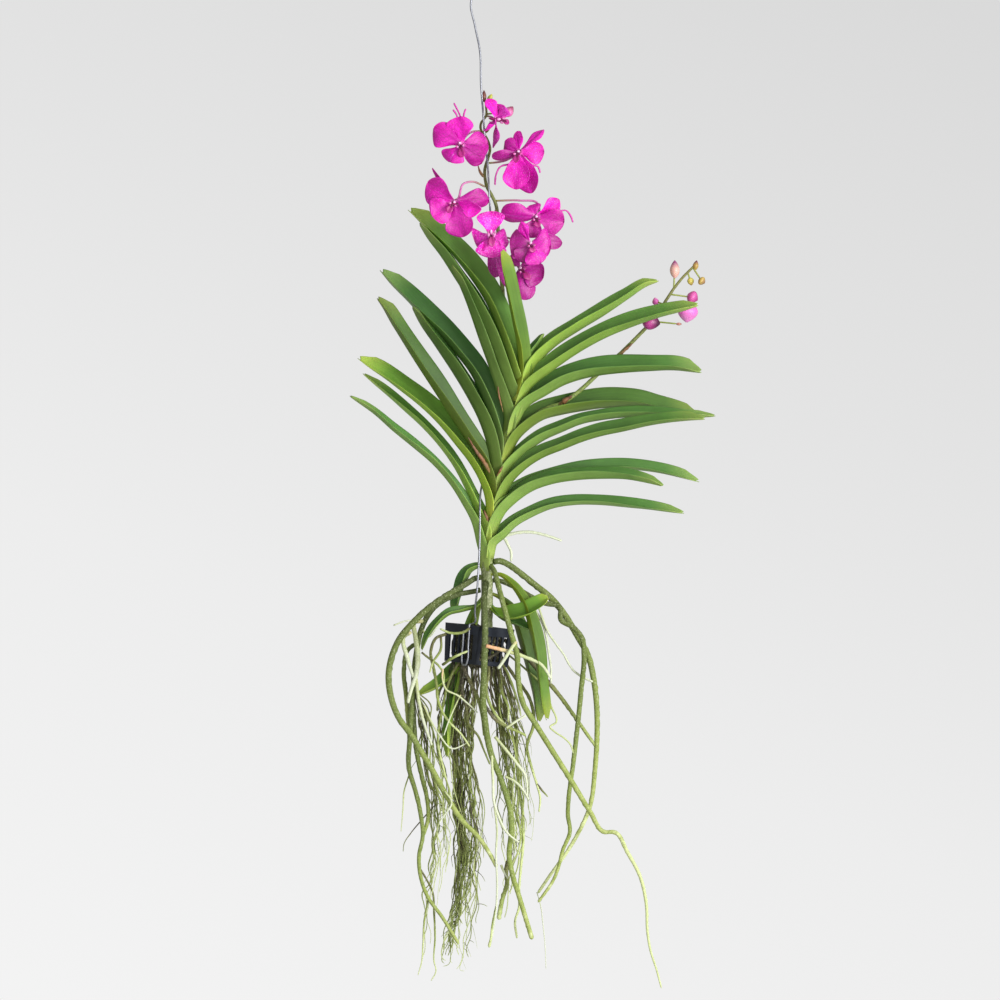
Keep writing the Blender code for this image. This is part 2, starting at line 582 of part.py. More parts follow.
def build_roots():
    """The thick roots, each from the stem to its tip, and the forked one as one body."""
    for name, (points, radii) in ROOTS.items():
        line = Line(points)
        data = tube(name, line, [r * MM for r in radii], stations(line, 1))
        data.data.materials.append(ROOT_GREEN)
    forks = []
    for i, (points, radii) in enumerate(FORKED_ROOT + PALE_ROOTS):
        count = 16 if i == 0 else 6
        forks.append(rod(f"fork_{i}", points, [r * MM for r in radii], count, ROOT_GREEN, 1))
    fuse("root_left_forked", forks, ROOT_GREEN, "MANIFOLD")


def basket_frame():
    """The basket's own frame: its floor's middle, turned corner first and leaning."""
    middle = place(*BASKET_CENTRE)
    lean = Matrix.Rotation(math.radians(BASKET_LEAN_DEG), 4, "Y")
    yaw = Matrix.Rotation(math.radians(BASKET_YAW_DEG), 4, "Z")
    drop = Matrix.Translation((0, 0, -BASKET_HEIGHT / 2))
    return Matrix.Translation(middle) @ lean @ yaw @ drop


def tapered_box(name, bottom, top, low, high, collection):
    """A square box that widens upward, from height low to height high."""
    bm = bmesh.new()
    bmesh.ops.create_cone(
        bm, cap_ends=True, segments=4, radius1=bottom / math.sqrt(2),
        radius2=top / math.sqrt(2), depth=high - low,
        matrix=Matrix.Translation((0, 0, (low + high) / 2)) @ Matrix.Rotation(math.pi / 4, 4, "Z"),
    )
    mesh = bpy.data.meshes.new(name)
    bm.to_mesh(mesh)
    bm.free()
    obj = bpy.data.objects.new(name, mesh)
    collection.objects.link(obj)
    return obj


def block_cutter(name, size, centre):
    """A box-shaped cutter in the basket's frame."""
    bm = bmesh.new()
    bmesh.ops.create_cube(
        bm, size=1.0, matrix=Matrix.Translation(centre) @ Matrix.Diagonal((*size, 1.0)),
    )
    mesh = bpy.data.meshes.new(name)
    bm.to_mesh(mesh)
    bm.free()
    obj = bpy.data.objects.new(name, mesh)
    CUTTERS.objects.link(obj)
    return obj


def build_basket():
    """The square basket: thin walls with upright slots and a floor of open squares."""
    basket = tapered_box("slotted_basket", BASKET_BOTTOM, BASKET_TOP, 0, BASKET_HEIGHT, PLANT)
    basket.data.materials.append(BLACK_PLASTIC)
    rise = BASKET_TOP - BASKET_BOTTOM
    reach = 0.01
    inner_bottom = BASKET_BOTTOM - 2 * BASKET_WALL + rise * BASKET_WALL / BASKET_HEIGHT
    inner_top = BASKET_TOP - 2 * BASKET_WALL + rise * reach / BASKET_HEIGHT
    tapered_box("hollow", inner_bottom, inner_top, BASKET_WALL, BASKET_HEIGHT + reach, CUTTERS)
    pitch = (BASKET_BOTTOM - 0.010) / SLOTS_A_SIDE
    middle = BASKET_WALL + 0.003 + SLOT_HEIGHT / 2
    for i in range(SLOTS_A_SIDE):
        offset = (i - (SLOTS_A_SIDE - 1) / 2) * pitch
        block_cutter(f"slot_a_{i}", (SLOT_WIDTH, 0.08, SLOT_HEIGHT), (offset, 0, middle))
        block_cutter(f"slot_b_{i}", (0.08, SLOT_WIDTH, SLOT_HEIGHT), (0, offset, middle))
    hole = (BASKET_BOTTOM - 0.010) / 2
    for i in (-1, 1):
        for j in (-1, 1):
            centre = (i * (hole / 2 + 0.0012), j * (hole / 2 + 0.0012), 0)
            block_cutter(f"floor_{i}_{j}", (hole - 0.0024, hole - 0.0024, 0.02), centre)
    for cutter in CUTTERS.objects:
        cutter.hide_render = True
        cutter.display_type = "WIRE"
        cutter.matrix_world = basket_frame()
    basket.matrix_world = basket_frame()
    cut = basket.modifiers.new("openings", "BOOLEAN")
    cut.operation = "DIFFERENCE"
    cut.operand_type = "COLLECTION"
    cut.collection = CUTTERS
    cut.solver = "EXACT"


def in_basket(x, y, z):
    """A point of the basket's frame, as a column, a row and a depth of the drawing."""
    spot = basket_frame() @ Vector((x, y, z))
    column = spot.x / STEP + HOOK_COLUMN
    row = -spot.z / STEP + HOOK_ROW
    return (column, row, spot.y / MM)


def build_wire():
    """The bent wire: a hook, a long run behind the leaves, and a leg on the basket."""
    stand_off = WIRE_RADIUS + GAP
    points = []
    for turn in range(HOOK_FROM_DEG, HOOK_TO_DEG - 1, -24):
        angle = math.radians(turn)
        points.append((HOOK_COLUMN + HOOK_RADIUS * math.cos(angle),
                       HOOK_ROW + HOOK_RADIUS * (1 - math.sin(angle)), 0))
    points += [(475, -10, 0), (471, 2, 0), (475, 26, 0), (480, 52, -2), (481, 85, -3),
               (483, 112, -3), (485, 140, -3), (488, 170, -3), (489, 190, -3), (490, 206, -2),
               (491, 228, 14), (491, 260, 22), (490, 340, 22), (488, 420, 20), (486, 458, 17),
               (483, 479, 9), (480.5, 493, -1), (480, 506, -9), (480, 530, -11),
               (479, 560, -12), (477, 592, -16), (475, 612, -20)]
    rim = -BASKET_TOP / 2
    foot = -BASKET_BOTTOM / 2
    points.append(in_basket(rim + 0.0090, -0.0130, BASKET_HEIGHT + 0.0045))
    points.append(in_basket(rim + 0.0018, -0.0145, BASKET_HEIGHT + 0.0020))
    points.append(in_basket(rim - 0.0014, -0.0150, BASKET_HEIGHT + 0.0014))
    points.append(in_basket(rim - 0.0020, -0.0150, BASKET_HEIGHT - 0.0018))
    points.append(in_basket(rim - stand_off + 0.0002, -0.0150, BASKET_HEIGHT - 0.0060))
    points.append(in_basket((rim + foot) / 2 - stand_off, -0.0150, BASKET_HEIGHT / 2))
    points.append(in_basket(foot - stand_off, -0.0150, 0.001))
    line = Line(points)
    marks = stations(line, 1)
    # The hook is a solid of its own, which ends square against the long wire.
    seam = points.index((475, -10, 0))
    half = GAP / 2 / line.length
    square = 0.003 / line.length
    crown = [*marks[:seam], marks[seam] - square, marks[seam] - half]
    shank = [marks[seam] + half, marks[seam] + square, *marks[seam + 1:]]
    for name, fractions in (("wire_hook", crown), ("wire_hanger", shank)):
        wire = tube(name, line, [WIRE_RADIUS, WIRE_RADIUS], fractions)
        wire.data.materials.append(ZINC_WIRE)


def build_root_bunch():
    """The fine roots: strands from a small ball in the basket, out through its floor."""
    draw = random.Random(SEED)
    bm = bmesh.new()
    flat = Matrix.Diagonal((1.0, 1.0, 0.42, 1.0))
    height = BASKET_WALL + GAP + ROOT_BALL_RADIUS * 0.42
    bmesh.ops.create_icosphere(
        bm, subdivisions=2, radius=ROOT_BALL_RADIUS,
        matrix=basket_frame() @ Matrix.Translation((0, 0, height)) @ flat,
    )
    mesh = bpy.data.meshes.new("ball")
    bm.to_mesh(mesh)
    bm.free()
    ball = bpy.data.objects.new("ball", mesh)
    PLANT.objects.link(ball)
    pieces = [settled(ball, "ball", ROOT_BROWN)]
    doors = [(-0.0125, -0.0125), (-0.0125, 0.0125), (0.0125, -0.0125), (0.0125, 0.0125)]
    # Each run: how many strands, the columns and rows that its middle passes, its end
    # rows, its half width in steps, and its depth and half depth in millimetres.
    runs = [
        (7, [(462, 690), (457, 745), (465, 805), (468, 860), (460, 915)], (850, 968), 17, 12, 14),
        (4, [(497, 695), (508, 745), (511, 800), (512, 860)], (800, 918), 12, 8, 12),
        (3, [(436, 700), (432, 750), (438, 820), (432, 890)], (880, 975), 9, 20, 10),
    ]
    number = 0
    for count, middle, ends, spread, behind, depth in runs:
        for i in range(count):
            door = doors[(number + (0 if middle[0][0] < 470 else 2)) % 4]
            x = door[0] + draw.uniform(-0.005, 0.005)
            y = door[1] + draw.uniform(-0.005, 0.005)
            points = [in_basket(x * 0.8, y * 0.8, 0.009), in_basket(x, y, 0.001),
                      in_basket(x, y, -0.014)]
            shift = draw.uniform(-spread, spread)
            back = behind + draw.uniform(-depth, depth)
            end = draw.uniform(*ends)
            for column, row in middle:
                if row < end - 25:
                    wave = draw.uniform(-5, 5)
                    points.append((column + shift + wave, row + draw.uniform(-8, 8),
                                   back + draw.uniform(-4, 4)))
            points.append((points[-1][0] + draw.uniform(-8, 6), end, back))
            radius = draw.uniform(1.2, 1.9) * MM
            line = Line(points)
            strand = tube(f"strand_{number}", line, [radius, radius, radius * 0.6],
                          stations(line, 1), 1)
            pieces.append(settled(strand, f"strand_{number}", ROOT_BROWN))
            number += 1
    fuse("fine_root_bunch", pieces, ROOT_BROWN, "MANIFOLD")


build_shoot()
for bloom_name, details in BLOOMS.items():
    build_bloom(bloom_name, *details)
build_roots()
build_basket()
build_wire()
build_root_bunch()
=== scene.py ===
"""A vanda orchid that hangs bare-rooted from a bent wire, dressed for a plain studio.

Units are metres, +Z is up, and the camera looks along +Y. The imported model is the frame:
every piece here stands where its node stands. Outlines are set out on the same front
drawing as the solids: one step of the drawing is 1.2 mm, columns count to the right, rows
count down, the hook's crown is at column 470 and row -40, and depth is in millimetres,
away from the viewer.
"""

from __future__ import annotations

import logging
import math
from collections.abc import Callable, Sequence
from dataclasses import dataclass, replace
from enum import Enum

import bmesh
import bpy
import numpy as np
from mathutils import Matrix, Vector


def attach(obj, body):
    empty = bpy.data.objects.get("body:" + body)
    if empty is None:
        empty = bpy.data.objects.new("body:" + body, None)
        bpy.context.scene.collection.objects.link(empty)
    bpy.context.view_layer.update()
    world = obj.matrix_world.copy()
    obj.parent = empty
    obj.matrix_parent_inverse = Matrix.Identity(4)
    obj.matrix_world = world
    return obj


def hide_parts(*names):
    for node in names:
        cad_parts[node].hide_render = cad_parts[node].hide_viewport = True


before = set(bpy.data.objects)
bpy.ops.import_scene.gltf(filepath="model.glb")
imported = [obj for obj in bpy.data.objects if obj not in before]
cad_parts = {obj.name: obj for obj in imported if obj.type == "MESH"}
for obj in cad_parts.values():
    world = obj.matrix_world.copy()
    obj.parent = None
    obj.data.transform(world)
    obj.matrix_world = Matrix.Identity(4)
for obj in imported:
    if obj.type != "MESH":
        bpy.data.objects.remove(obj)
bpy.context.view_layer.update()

LOG = logging.getLogger("vanda")

STEP = 0.0012
HOOK_COLUMN = 470
HOOK_ROW = -40
MM = 0.001
BODY = "root"
TURN = 2 * math.pi
# how far a wave's start may be drawn
PHASES = 6.28
# the sockets of a colour Mix node: its two colours and its result
MIX_A, MIX_B, MIX_OUT = 6, 7, 2

Points = Sequence[Sequence[float]]
Radii = tuple[float, ...]
Spot = tuple[float, float, float]
Stops = tuple[tuple[float, str], ...]
Surface = Callable[[np.ndarray, np.ndarray], np.ndarray]


def place(points: Points) -> np.ndarray:
    """Turn points of the front drawing into metres.

    Across is the column less the hook's, times the step; up is the row less the hook's,
    times the step, downward; away is the depth in millimetres.

    Args:
        points: (column, row) or (column, row, depth) each.

    Returns:
        An array of one row a point.
    """
    grid = np.array([(*point, 0.0)[:3] for point in points], float)
    across = (grid[:, 0] - HOOK_COLUMN) * STEP
    up = -(grid[:, 1] - HOOK_ROW) * STEP
    return np.column_stack((across, grid[:, 2] * MM, up))


def unit(vectors: np.ndarray) -> np.ndarray:
    """Scale vectors along the last axis to length one."""
    return vectors / np.maximum(np.linalg.norm(vectors, axis=-1, keepdims=True), 1e-12)


def eased(s: np.ndarray, knots: Sequence[float], values: Sequence[float]) -> np.ndarray:
    """Read a smooth curve through values set at knots.

    Between two knots it is the cubic whose slopes at the knots are those of the chords
    over both neighbours, so a width has no corner where a straight rule would have one.

    Args:
        s: where to read it, inside or beyond the knots.
        knots: rising positions.
        values: the value at each knot.

    Returns:
        The curve at s, held at its end values beyond the knots.
    """
    x = np.asarray(knots, float)
    y = np.asarray(values, float)
    slopes = np.gradient(y, x)
    s = np.clip(s, x[0], x[-1])
    i = np.clip(np.searchsorted(x, s, side="right") - 1, 0, len(x) - 2)
    gap = x[i + 1] - x[i]
    t = (s - x[i]) / gap
    rise = y[i] + (y[i + 1] - y[i]) * (3 * t**2 - 2 * t**3)
    out = (t**3 - 2 * t**2 + t) * gap * slopes[i]
    home = (t**3 - t**2) * gap * slopes[i + 1]
    return rise + out + home


class Path:
    """A smooth line through given points, read by the fraction of its length.

    Each run is a cubic whose slope at an inner point is the mean of the unit chords on its
    two sides, each weighted by the other's length.
    """

    RUN = 16

    def __init__(self, points: Points, swing: float = 0.0, metres: bool = False) -> None:
        """Sample the line closely.

        Args:
            points: points of the drawing, or of space where metres is true.
            swing: how far the tip leans away from the viewer, in millimetres.
            metres: whether the points are already metres.
        """
        knots = np.asarray(points, float) if metres else place(points)
        chords = np.linalg.norm(np.diff(knots, axis=0), axis=1)[:, None]
        slopes = np.diff(knots, axis=0) / chords
        inner = (slopes[:-1] * chords[1:] + slopes[1:] * chords[:-1]) / (chords[1:] + chords[:-1])
        slopes = np.vstack([slopes[:1], inner, slopes[-1:]])
        t = np.linspace(0, 1, self.RUN, endpoint=False)[None, :, None]
        start, end = knots[:-1, None], knots[1:, None]
        span = chords[:, None]
        runs = start + (end - start) * (3 * t**2 - 2 * t**3)
        runs = runs + (t**3 - 2 * t**2 + t) * span * slopes[:-1, None]
        runs = runs + (t**3 - t**2) * span * slopes[1:, None]
        self.points = np.vstack([runs.reshape(-1, 3), knots[-1:]])
        steps = np.linalg.norm(np.diff(self.points, axis=0), axis=1)
        self.lengths = np.concatenate([[0.0], np.cumsum(steps)])
        self.length = float(self.lengths[-1])
        self.points[:, 1] += swing * MM * (self.lengths / self.length) ** 1.3

    def read(self, s: np.ndarray) -> np.ndarray:
        """Read the sampled points at fractions inside the line."""
        reach = np.asarray(s, float) * self.length
        return np.stack([np.interp(reach, self.lengths, self.points[:, k]) for k in range(3)], -1)

    def heading(self, s: np.ndarray, reach: float = 0.02) -> np.ndarray:
        """Give the unit direction of travel at fractions of the length."""
        low = np.clip(np.asarray(s, float) - reach, 0.0, 1.0 - reach)
        high = np.clip(np.asarray(s, float) + reach, reach, 1.0)
        return unit(self.read(high) - self.read(low))

    def at(self, s: np.ndarray) -> np.ndarray:
        """Give the points at fractions of the length; beyond the ends it runs straight on."""
        inside = np.clip(s, 0.0, 1.0)
        beyond = (np.asarray(s, float) - inside)[..., None] * self.length
        return self.read(inside) + self.heading(inside) * beyond


@dataclass
class Loft:
    """A closed skin of rings joined one to the next, capped at both ends.

    Attributes:
        rings: points, as rows of rings with an even count of points each.
        span: across and along in millimetres, and 1 where the skin is an under side.
        tone: fraction along, a random draw, and a mark that the finish reads.
        tint: a linear colour of the skin, for finishes that take one.
    """

    rings: np.ndarray
    span: np.ndarray
    tone: np.ndarray
    tint: np.ndarray | None = None

    def faces(self, start: int) -> tuple[np.ndarray, np.ndarray]:
        """Number the quads and triangles of the skin, turned to face outwards.

        The sides join point j of one ring to point j + 1 of the next; a cap joins the
        points that face each other across the ring, as the rungs of a ladder.

        Args:
            start: the number of the skin's first point in its mesh.

        Returns:
            The quads and the triangles.
        """
        rows, ring = self.rings.shape[:2]
        index = np.arange(rows * ring).reshape(rows, ring)
        turned = np.roll(index, -1, axis=1)
        sides = np.stack([index[:-1], turned[:-1], turned[1:], index[1:]], -1).reshape(-1, 4)
        half = ring // 2
        j = np.arange(1, half - 1)
        rungs = np.stack([j, j + 1, ring - j - 1, ring - j], -1)
        ends = np.array([[0, 1, ring - 1], [half - 1, half, half + 1]])
        last = (rows - 1) * ring
        quads = np.vstack([sides, rungs[:, ::-1], rungs + last])
        triangles = np.vstack([ends[:, ::-1], ends + last])
        flat = self.rings.reshape(-1, 3)
        a, b, c, d = (flat[quads[:, k]] - flat.mean(0) for k in range(4))
        volume = np.einsum("ij,ij->", a, np.cross(b, c)) + np.einsum("ij,ij->", a, np.cross(c, d))
        if volume < 0:
            quads, triangles = quads[:, ::-1], triangles[:, ::-1]
        return quads + start, triangles + start


def settle(piece: bpy.types.Object, slot: str, *nodes: str) -> None:
    """Hang a finished piece on the frame in place of its nodes, and report it."""
    bpy.context.scene.collection.objects.link(piece)
    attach(piece, BODY)
    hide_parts(*nodes)
    LOG.info("%s: %d faces", piece.name, len(piece.data.polygons))


def skin_piece(name: str, lofts: Sequence[Loft], material: bpy.types.Material,
               slot: str, *nodes: str) -> None:
    """Join skins into one piece at the origin, with the attributes that its finish reads.

    Args:
        name: the piece's name.
        lofts: its skins; all have a tint of their own, or none.
        material: its finish.
        slot: not used.
        *nodes: the nodes in whose place it hangs.
    """
    quads, triangles, start = [], [], 0
    for loft in lofts:
        four, three = loft.faces(start)
        quads.append(four)
        triangles.append(three)
        start += loft.rings.shape[0] * loft.rings.shape[1]
    points = np.vstack([loft.rings.reshape(-1, 3) for loft in lofts])
    faces = np.vstack(quads).tolist() + np.vstack(triangles).tolist()
    mesh = bpy.data.meshes.new(name)
    mesh.from_pydata(points.tolist(), [], faces)
    mesh.polygons.foreach_set("use_smooth", np.ones(len(faces), bool))
    for key in ("span", "tone") if lofts[0].tint is None else ("span", "tone", "tint"):
        layer = mesh.attributes.new(key, "FLOAT_VECTOR", "POINT")
        values = [np.broadcast_to(getattr(loft, key), loft.rings.shape) for loft in lofts]
        layer.data.foreach_set("vector", np.concatenate([v.reshape(-1) for v in values]))
    mesh.materials.append(material)
    mesh.update()
    settle(bpy.data.objects.new(name, mesh), slot, *nodes)


def tube(path: Path, radii: Sequence[float], rows: int, ring: int, wobble: float = 0.0,
         draw: np.random.Generator | None = None, mark: float = 0.0,
         rounded: bool = True) -> Loft:
    """Carry a circle along a path.

    The point of a ring at an angle is the path's point, plus the radius times the cosine
    of the angle on one side axis and the sine on the other. The radius follows the given
    values, swells and narrows by slow waves, and closes as a dome at the far end, where
    the rings stand closer.

    Args:
        path: the line to follow.
        radii: radii in millimetres, evenly spread along it.
        rows: how many rings.
        ring: how many points a ring has.
        wobble: how far the waves change the radius, as a fraction of it.
        draw: the source of the waves' phases, and of the skin's own tone.
        mark: the mark that the finish reads.
        rounded: whether the far end is a dome.

    Returns:
        The skin.
    """
    crowding, slowest, fastest, waves = 1.12, 40, 160, 4
    s = np.linspace(0, 1, rows)
    if rounded:
        s = 1 - (1 - s) ** crowding
    points = path.at(s)
    heading = path.heading(s)
    least = np.linalg.svd(heading, full_matrices=False)[2][-1]
    side = unit(np.cross(heading, least))
    other = np.cross(heading, side)
    radius = eased(s, np.linspace(0, 1, len(radii)), radii)[:, None] * MM * np.ones(ring)
    angle = np.linspace(0, TURN, ring, endpoint=False)
    tone = 0.5
    if draw is not None:
        tone = float(draw.random())
        phase = draw.uniform(0, TURN, waves + 2)
        rate = path.length * draw.uniform(slowest, fastest, waves)
        along = sum(np.sin(TURN * rate[k] * s + phase[k]) for k in range(waves)) / waves
        turned = np.sin(angle[None] + phase[waves] + 9 * s[:, None] + 2 * along[:, None])
        radius = radius * (1 + wobble * (along[:, None] + 0.6 * turned))
    if rounded:
        left = (1 - s) * path.length / np.maximum(radius[:, 0], 1e-5)
        radius = radius * np.sqrt(np.clip(1 - (1 - np.clip(left, 0, 1)) ** 2, 0.03, 1))[:, None]
    spoke = (side[:, None] * np.cos(angle)[None, :, None]
             + other[:, None] * np.sin(angle)[None, :, None])
    rings = points[:, None] + spoke * radius[..., None]
    span = np.stack(np.broadcast_arrays(
        np.cos(angle)[None] * radius / MM, s[:, None] * path.length / MM, 0.0), -1)
    marks = np.stack(np.broadcast_arrays(s[:, None] * np.ones(ring), tone, mark), -1)
    return Loft(rings, span, marks)


def blade(surface: Surface, across: int, along: int, thickness: float, width: float,
          length: float, tone: float, spread: float, mark: float = 0.0,
          keel: float = 0.0) -> Loft:
    """Give a thin leaf-like surface its thickness, thinning to its margins and its tip.

    A ring starts at one margin, crosses the upper face to the other margin and comes back
    on the under face. u is minus the cosine of the ring's angle. A point is the surface's
    point, moved along the surface's normal by half the thickness, which fades at a margin
    as the root of one less the eighth power of u and towards the tip as the cube of v, and
    swells by a rib at the keel.

    Args:
        surface: gives points for u from -1 to 1 across and v from 0 to 1 along.
        across: how many strips each face has.
        along: how many rings.
        thickness: metres.
        width: metres from the middle to a margin, for the finish's scale.
        length: metres, for the finish's scale.
        tone: the skin's own tone.
        spread: over 1 sets the rings closer towards the tip.
        mark: the mark that the finish reads.
        keel: the rib's height on the under face, in metres.

    Returns:
        The skin.
    """
    nudge, thinning, rib_width, rib_fading = 1e-3, 0.45, 0.09, 0.7
    angle = np.linspace(0, TURN, 2 * across, endpoint=False)
    u = np.broadcast_to(-np.cos(angle), (along, 2 * across))
    v = 1 - (1 - np.linspace(0, 1, along)) ** spread
    v = np.broadcast_to(v[:, None], u.shape)
    slope_u = surface(u + nudge, v) - surface(u - nudge, v)
    slope_v = surface(u, v + nudge) - surface(u, v - nudge)
    normal = unit(np.cross(slope_u, slope_v))
    upper = np.broadcast_to(np.sin(angle) > 0, u.shape)
    margin = np.sqrt(np.clip(1 - np.abs(u) ** 8, 0, 1))
    depth = 0.5 * thickness * margin * (1 - thinning * v**3)
    rib = keel * np.exp(-((u / rib_width) ** 2)) * (1 - rib_fading * v)
    offset = np.where(upper, depth, -depth - rib)
    rings = surface(u, v) + normal * offset[..., None]
    span = np.stack([u * width / MM, v * length / MM, np.where(upper, 0.0, 1.0)], -1)
    marks = np.stack(np.broadcast_arrays(v, tone, mark), -1)
    return Loft(rings, span, marks)


def bead(centre: np.ndarray, tip: np.ndarray, width: float, tint: str, nose: str,
         tone: float, rows: int = 22, ring: int = 18) -> Loft:
    """Turn an egg-shaped bud about the line from its base to its tip.

    The radius is the sine of the way along, to the power of 0.75, and the widest place
    sits nearer the base. Three low folds run from base to tip. The colour passes from the
    base's to the pointed end's over the upper half.

    Args:
        centre: the middle of the bud.
        tip: its pointed end.
        width: its widest diameter in metres.
        tint: the colour of its base and sides.
        nose: the colour of its pointed end.
        tone: its own tone.
        rows: how many rings.
        ring: how many points a ring has.

    Returns:
        The skin.
    """
    axis = tip - centre
    heading = unit(axis)
    side = unit(np.cross(heading, np.array([0.3, 1.0, 0.2])))
    other = np.cross(heading, side)
    v = np.linspace(0, 1, rows)[:, None]
    angle = np.linspace(0, TURN, ring, endpoint=False)[None]
    swell = np.sin(math.pi * np.clip(v, 0.012, 0.988) ** 0.86) ** 0.75
    folds = 1 - 0.07 * np.abs(np.sin(1.5 * angle)) ** 4 * np.sin(math.pi * v)
    radius = 0.5 * width * swell * folds
    spoke = side * np.cos(angle)[..., None] + other * np.sin(angle)[..., None]
    rings = centre + axis * (2 * v[..., None] - 1) + spoke * radius[..., None]
    long = v * np.linalg.norm(axis) * 2 / MM
    span = np.stack(np.broadcast_arrays(angle * width / 2 / MM, long, 0.0), -1)
    marks = np.stack(np.broadcast_arrays(v * np.ones_like(angle), tone, 0.0), -1)
    blend = np.clip((v - 0.55) / 0.35, 0, 1)[..., None]
    colours = (1 - blend) * rgb(tint) + blend * rgb(nose)
    return Loft(rings, span, marks, np.broadcast_to(colours, rings.shape))


def linear(code: str) -> tuple[float, float, float, float]:
    """Turn an sRGB hex value into a linear colour with full alpha.

    A part under 0.04045 is divided by 12.92; any other has 0.055 added, is divided by
    1.055 and raised to the power 2.4.
    """
    parts = [int(code[k:k + 2], 16) / 255 for k in (1, 3, 5)]
    low = [p / 12.92 if p <= 0.04045 else ((p + 0.055) / 1.055) ** 2.4 for p in parts]
    return (*low, 1.0)


def rgb(code: str) -> np.ndarray:
    """Turn an sRGB hex value into linear red, green and blue."""
    return np.array(linear(code)[:3])


def feed(tree: bpy.types.NodeTree, node: bpy.types.Node,
         inputs: dict[str | int, object]) -> None:
    """Set a node's sockets to values, or link them to the sockets that feed them."""
    for key, value in inputs.items():
        if isinstance(value, bpy.types.NodeSocket):
            tree.links.new(value, node.inputs[key])
        else:
            node.inputs[key].default_value = value


def add(tree: bpy.types.NodeTree, kind: str, inputs: dict[str | int, object] | None = None,
        stops: Stops = (), **settings: object) -> bpy.types.Node:
    """Add one shader node with its settings and links.

    Args:
        tree: the material's nodes.
        kind: the node's type, without its first word ShaderNode.
        inputs: for each socket, a value or the socket that feeds it.
        stops: for a colour ramp, its positions and hex colours.
        **settings: the node's own properties.

    Returns:
        The node.
    """
    node = tree.nodes.new("ShaderNode" + kind)
    for key, value in settings.items():
        setattr(node, key, value)
    feed(tree, node, inputs or {})
    if stops:
        elements = node.color_ramp.elements
        while len(elements) < len(stops):
            elements.new(0.5)
        for element, (position, colour) in zip(elements, stops):
            element.position = position
            element.color = linear(colour)
    return node


def start_material(name: str) -> tuple[bpy.types.Material, bpy.types.NodeTree, bpy.types.Node]:
    """Make a material and give it, its nodes and its Principled shader."""
    material = bpy.data.materials.new(name)
    material.use_nodes = True
    return material, material.node_tree, material.node_tree.nodes["Principled BSDF"]


@dataclass(frozen=True)
class LeafCuticle:
    """Living strap leaf: a waxed, leathery skin with fine lengthwise veins.

    The wax gives a broad soft gloss, the outside is paler than the channel inside, and the
    base is yellow-green where no light reached it. The outside's paleness is partly the
    leaf's own and partly painted shade: the inside is coloured darker than the real leaf,
    to stand for the shade in the fold. The veins are 1.3 mm apart.
    """

    name: str = "vanda_leaf_cuticle"
    outside: Stops = (
        (0.0, "#98AC48"), (0.12, "#7E9F3E"), (0.40, "#76993D"), (0.85, "#6C933C"), (1.0, "#92AA50"))
    # painted shade: the inside's stops are darker than the real leaf's, for the shade in the fold
    inside: Stops = (
        (0.0, "#8AA242"), (0.15, "#5C8433"), (0.45, "#48742F"), (0.85, "#507F32"), (1.0, "#809C46"))
    vein_mm: float = 1.3
    mottle_mm: float = 26.0
    roughness: float = 0.54
    specular: float = 0.27
    glow: float = 0.12
    glow_reach: Spot = (0.002, 0.004, 0.0008)

    def build(self) -> bpy.types.Material:
        """Make the material."""
        material, tree, skin = start_material(self.name)
        span = add(tree, "Attribute", attribute_name="span").outputs["Vector"]
        tone = add(tree, "Attribute", attribute_name="tone").outputs["Vector"]
        place_on = add(tree, "SeparateXYZ", {0: span})
        marks = add(tree, "SeparateXYZ", {0: tone})
        outer = add(tree, "ValToRGB", {0: marks.outputs[0]}, self.outside)
        inner = add(tree, "ValToRGB", {0: marks.outputs[0]}, self.inside)
        # the under face takes the outside's colour, the upper face the inside's, which holds
        # painted shade
        faces = add(tree, "Mix", {0: place_on.outputs[2], MIX_A: inner.outputs[0],
                                  MIX_B: outer.outputs[0]}, data_type="RGBA")
        spot = add(tree, "TexCoord").outputs["Object"]
        mottle = add(tree, "TexNoise", {"Vector": spot, "Scale": 1000 / self.mottle_mm,
                                        "Detail": 4.0, "Roughness": 0.6})
        shade = add(tree, "MapRange", {0: mottle.outputs[0], 1: 0.25, 2: 0.75, 3: 0.86, 4: 1.12})
        stretch = add(tree, "Mapping", {"Vector": span, "Scale": (1 / self.vein_mm, 0.012, 1.0)})
        veins = add(tree, "TexNoise", {"Vector": stretch.outputs[0], "Scale": 1.0, "Detail": 2.0})
        groove = add(tree, "MapRange", {0: veins.outputs[0], 1: 0.3, 2: 0.7, 3: 0.9, 4: 1.08})
        own = add(tree, "MapRange", {0: marks.outputs[1], 1: 0.0, 2: 1.4, 3: 0.58, 4: 1.66})
        value = add(tree, "Math", {0: shade.outputs[0], 1: groove.outputs[0]},
                    operation="MULTIPLY")
        value = add(tree, "Math", {0: value.outputs[0], 1: own.outputs[0]}, operation="MULTIPLY")
        hue = add(tree, "MapRange", {0: marks.outputs[2], 1: -1.0, 2: 1.0, 3: 0.535, 4: 0.465})
        rich = add(tree, "MapRange", {0: marks.outputs[2], 1: -1.0, 2: 1.0, 3: 0.78, 4: 1.08})
        tuned = add(tree, "HueSaturation", {
            "Hue": hue.outputs[0], "Saturation": rich.outputs[0], "Value": value.outputs[0],
            "Color": faces.outputs[MIX_OUT]})
        bump = add(tree, "Bump", {"Height": veins.outputs[0], "Strength": 0.2, "Distance": 0.0003})
        feed(tree, skin, {
            "Base Color": tuned.outputs[0], "Roughness": self.roughness,
            "Specular IOR Level": self.specular, "Subsurface Weight": self.glow,
            "Subsurface Radius": self.glow_reach, "Subsurface Scale": 1.0,
            "Normal": bump.outputs[0]})
        return material


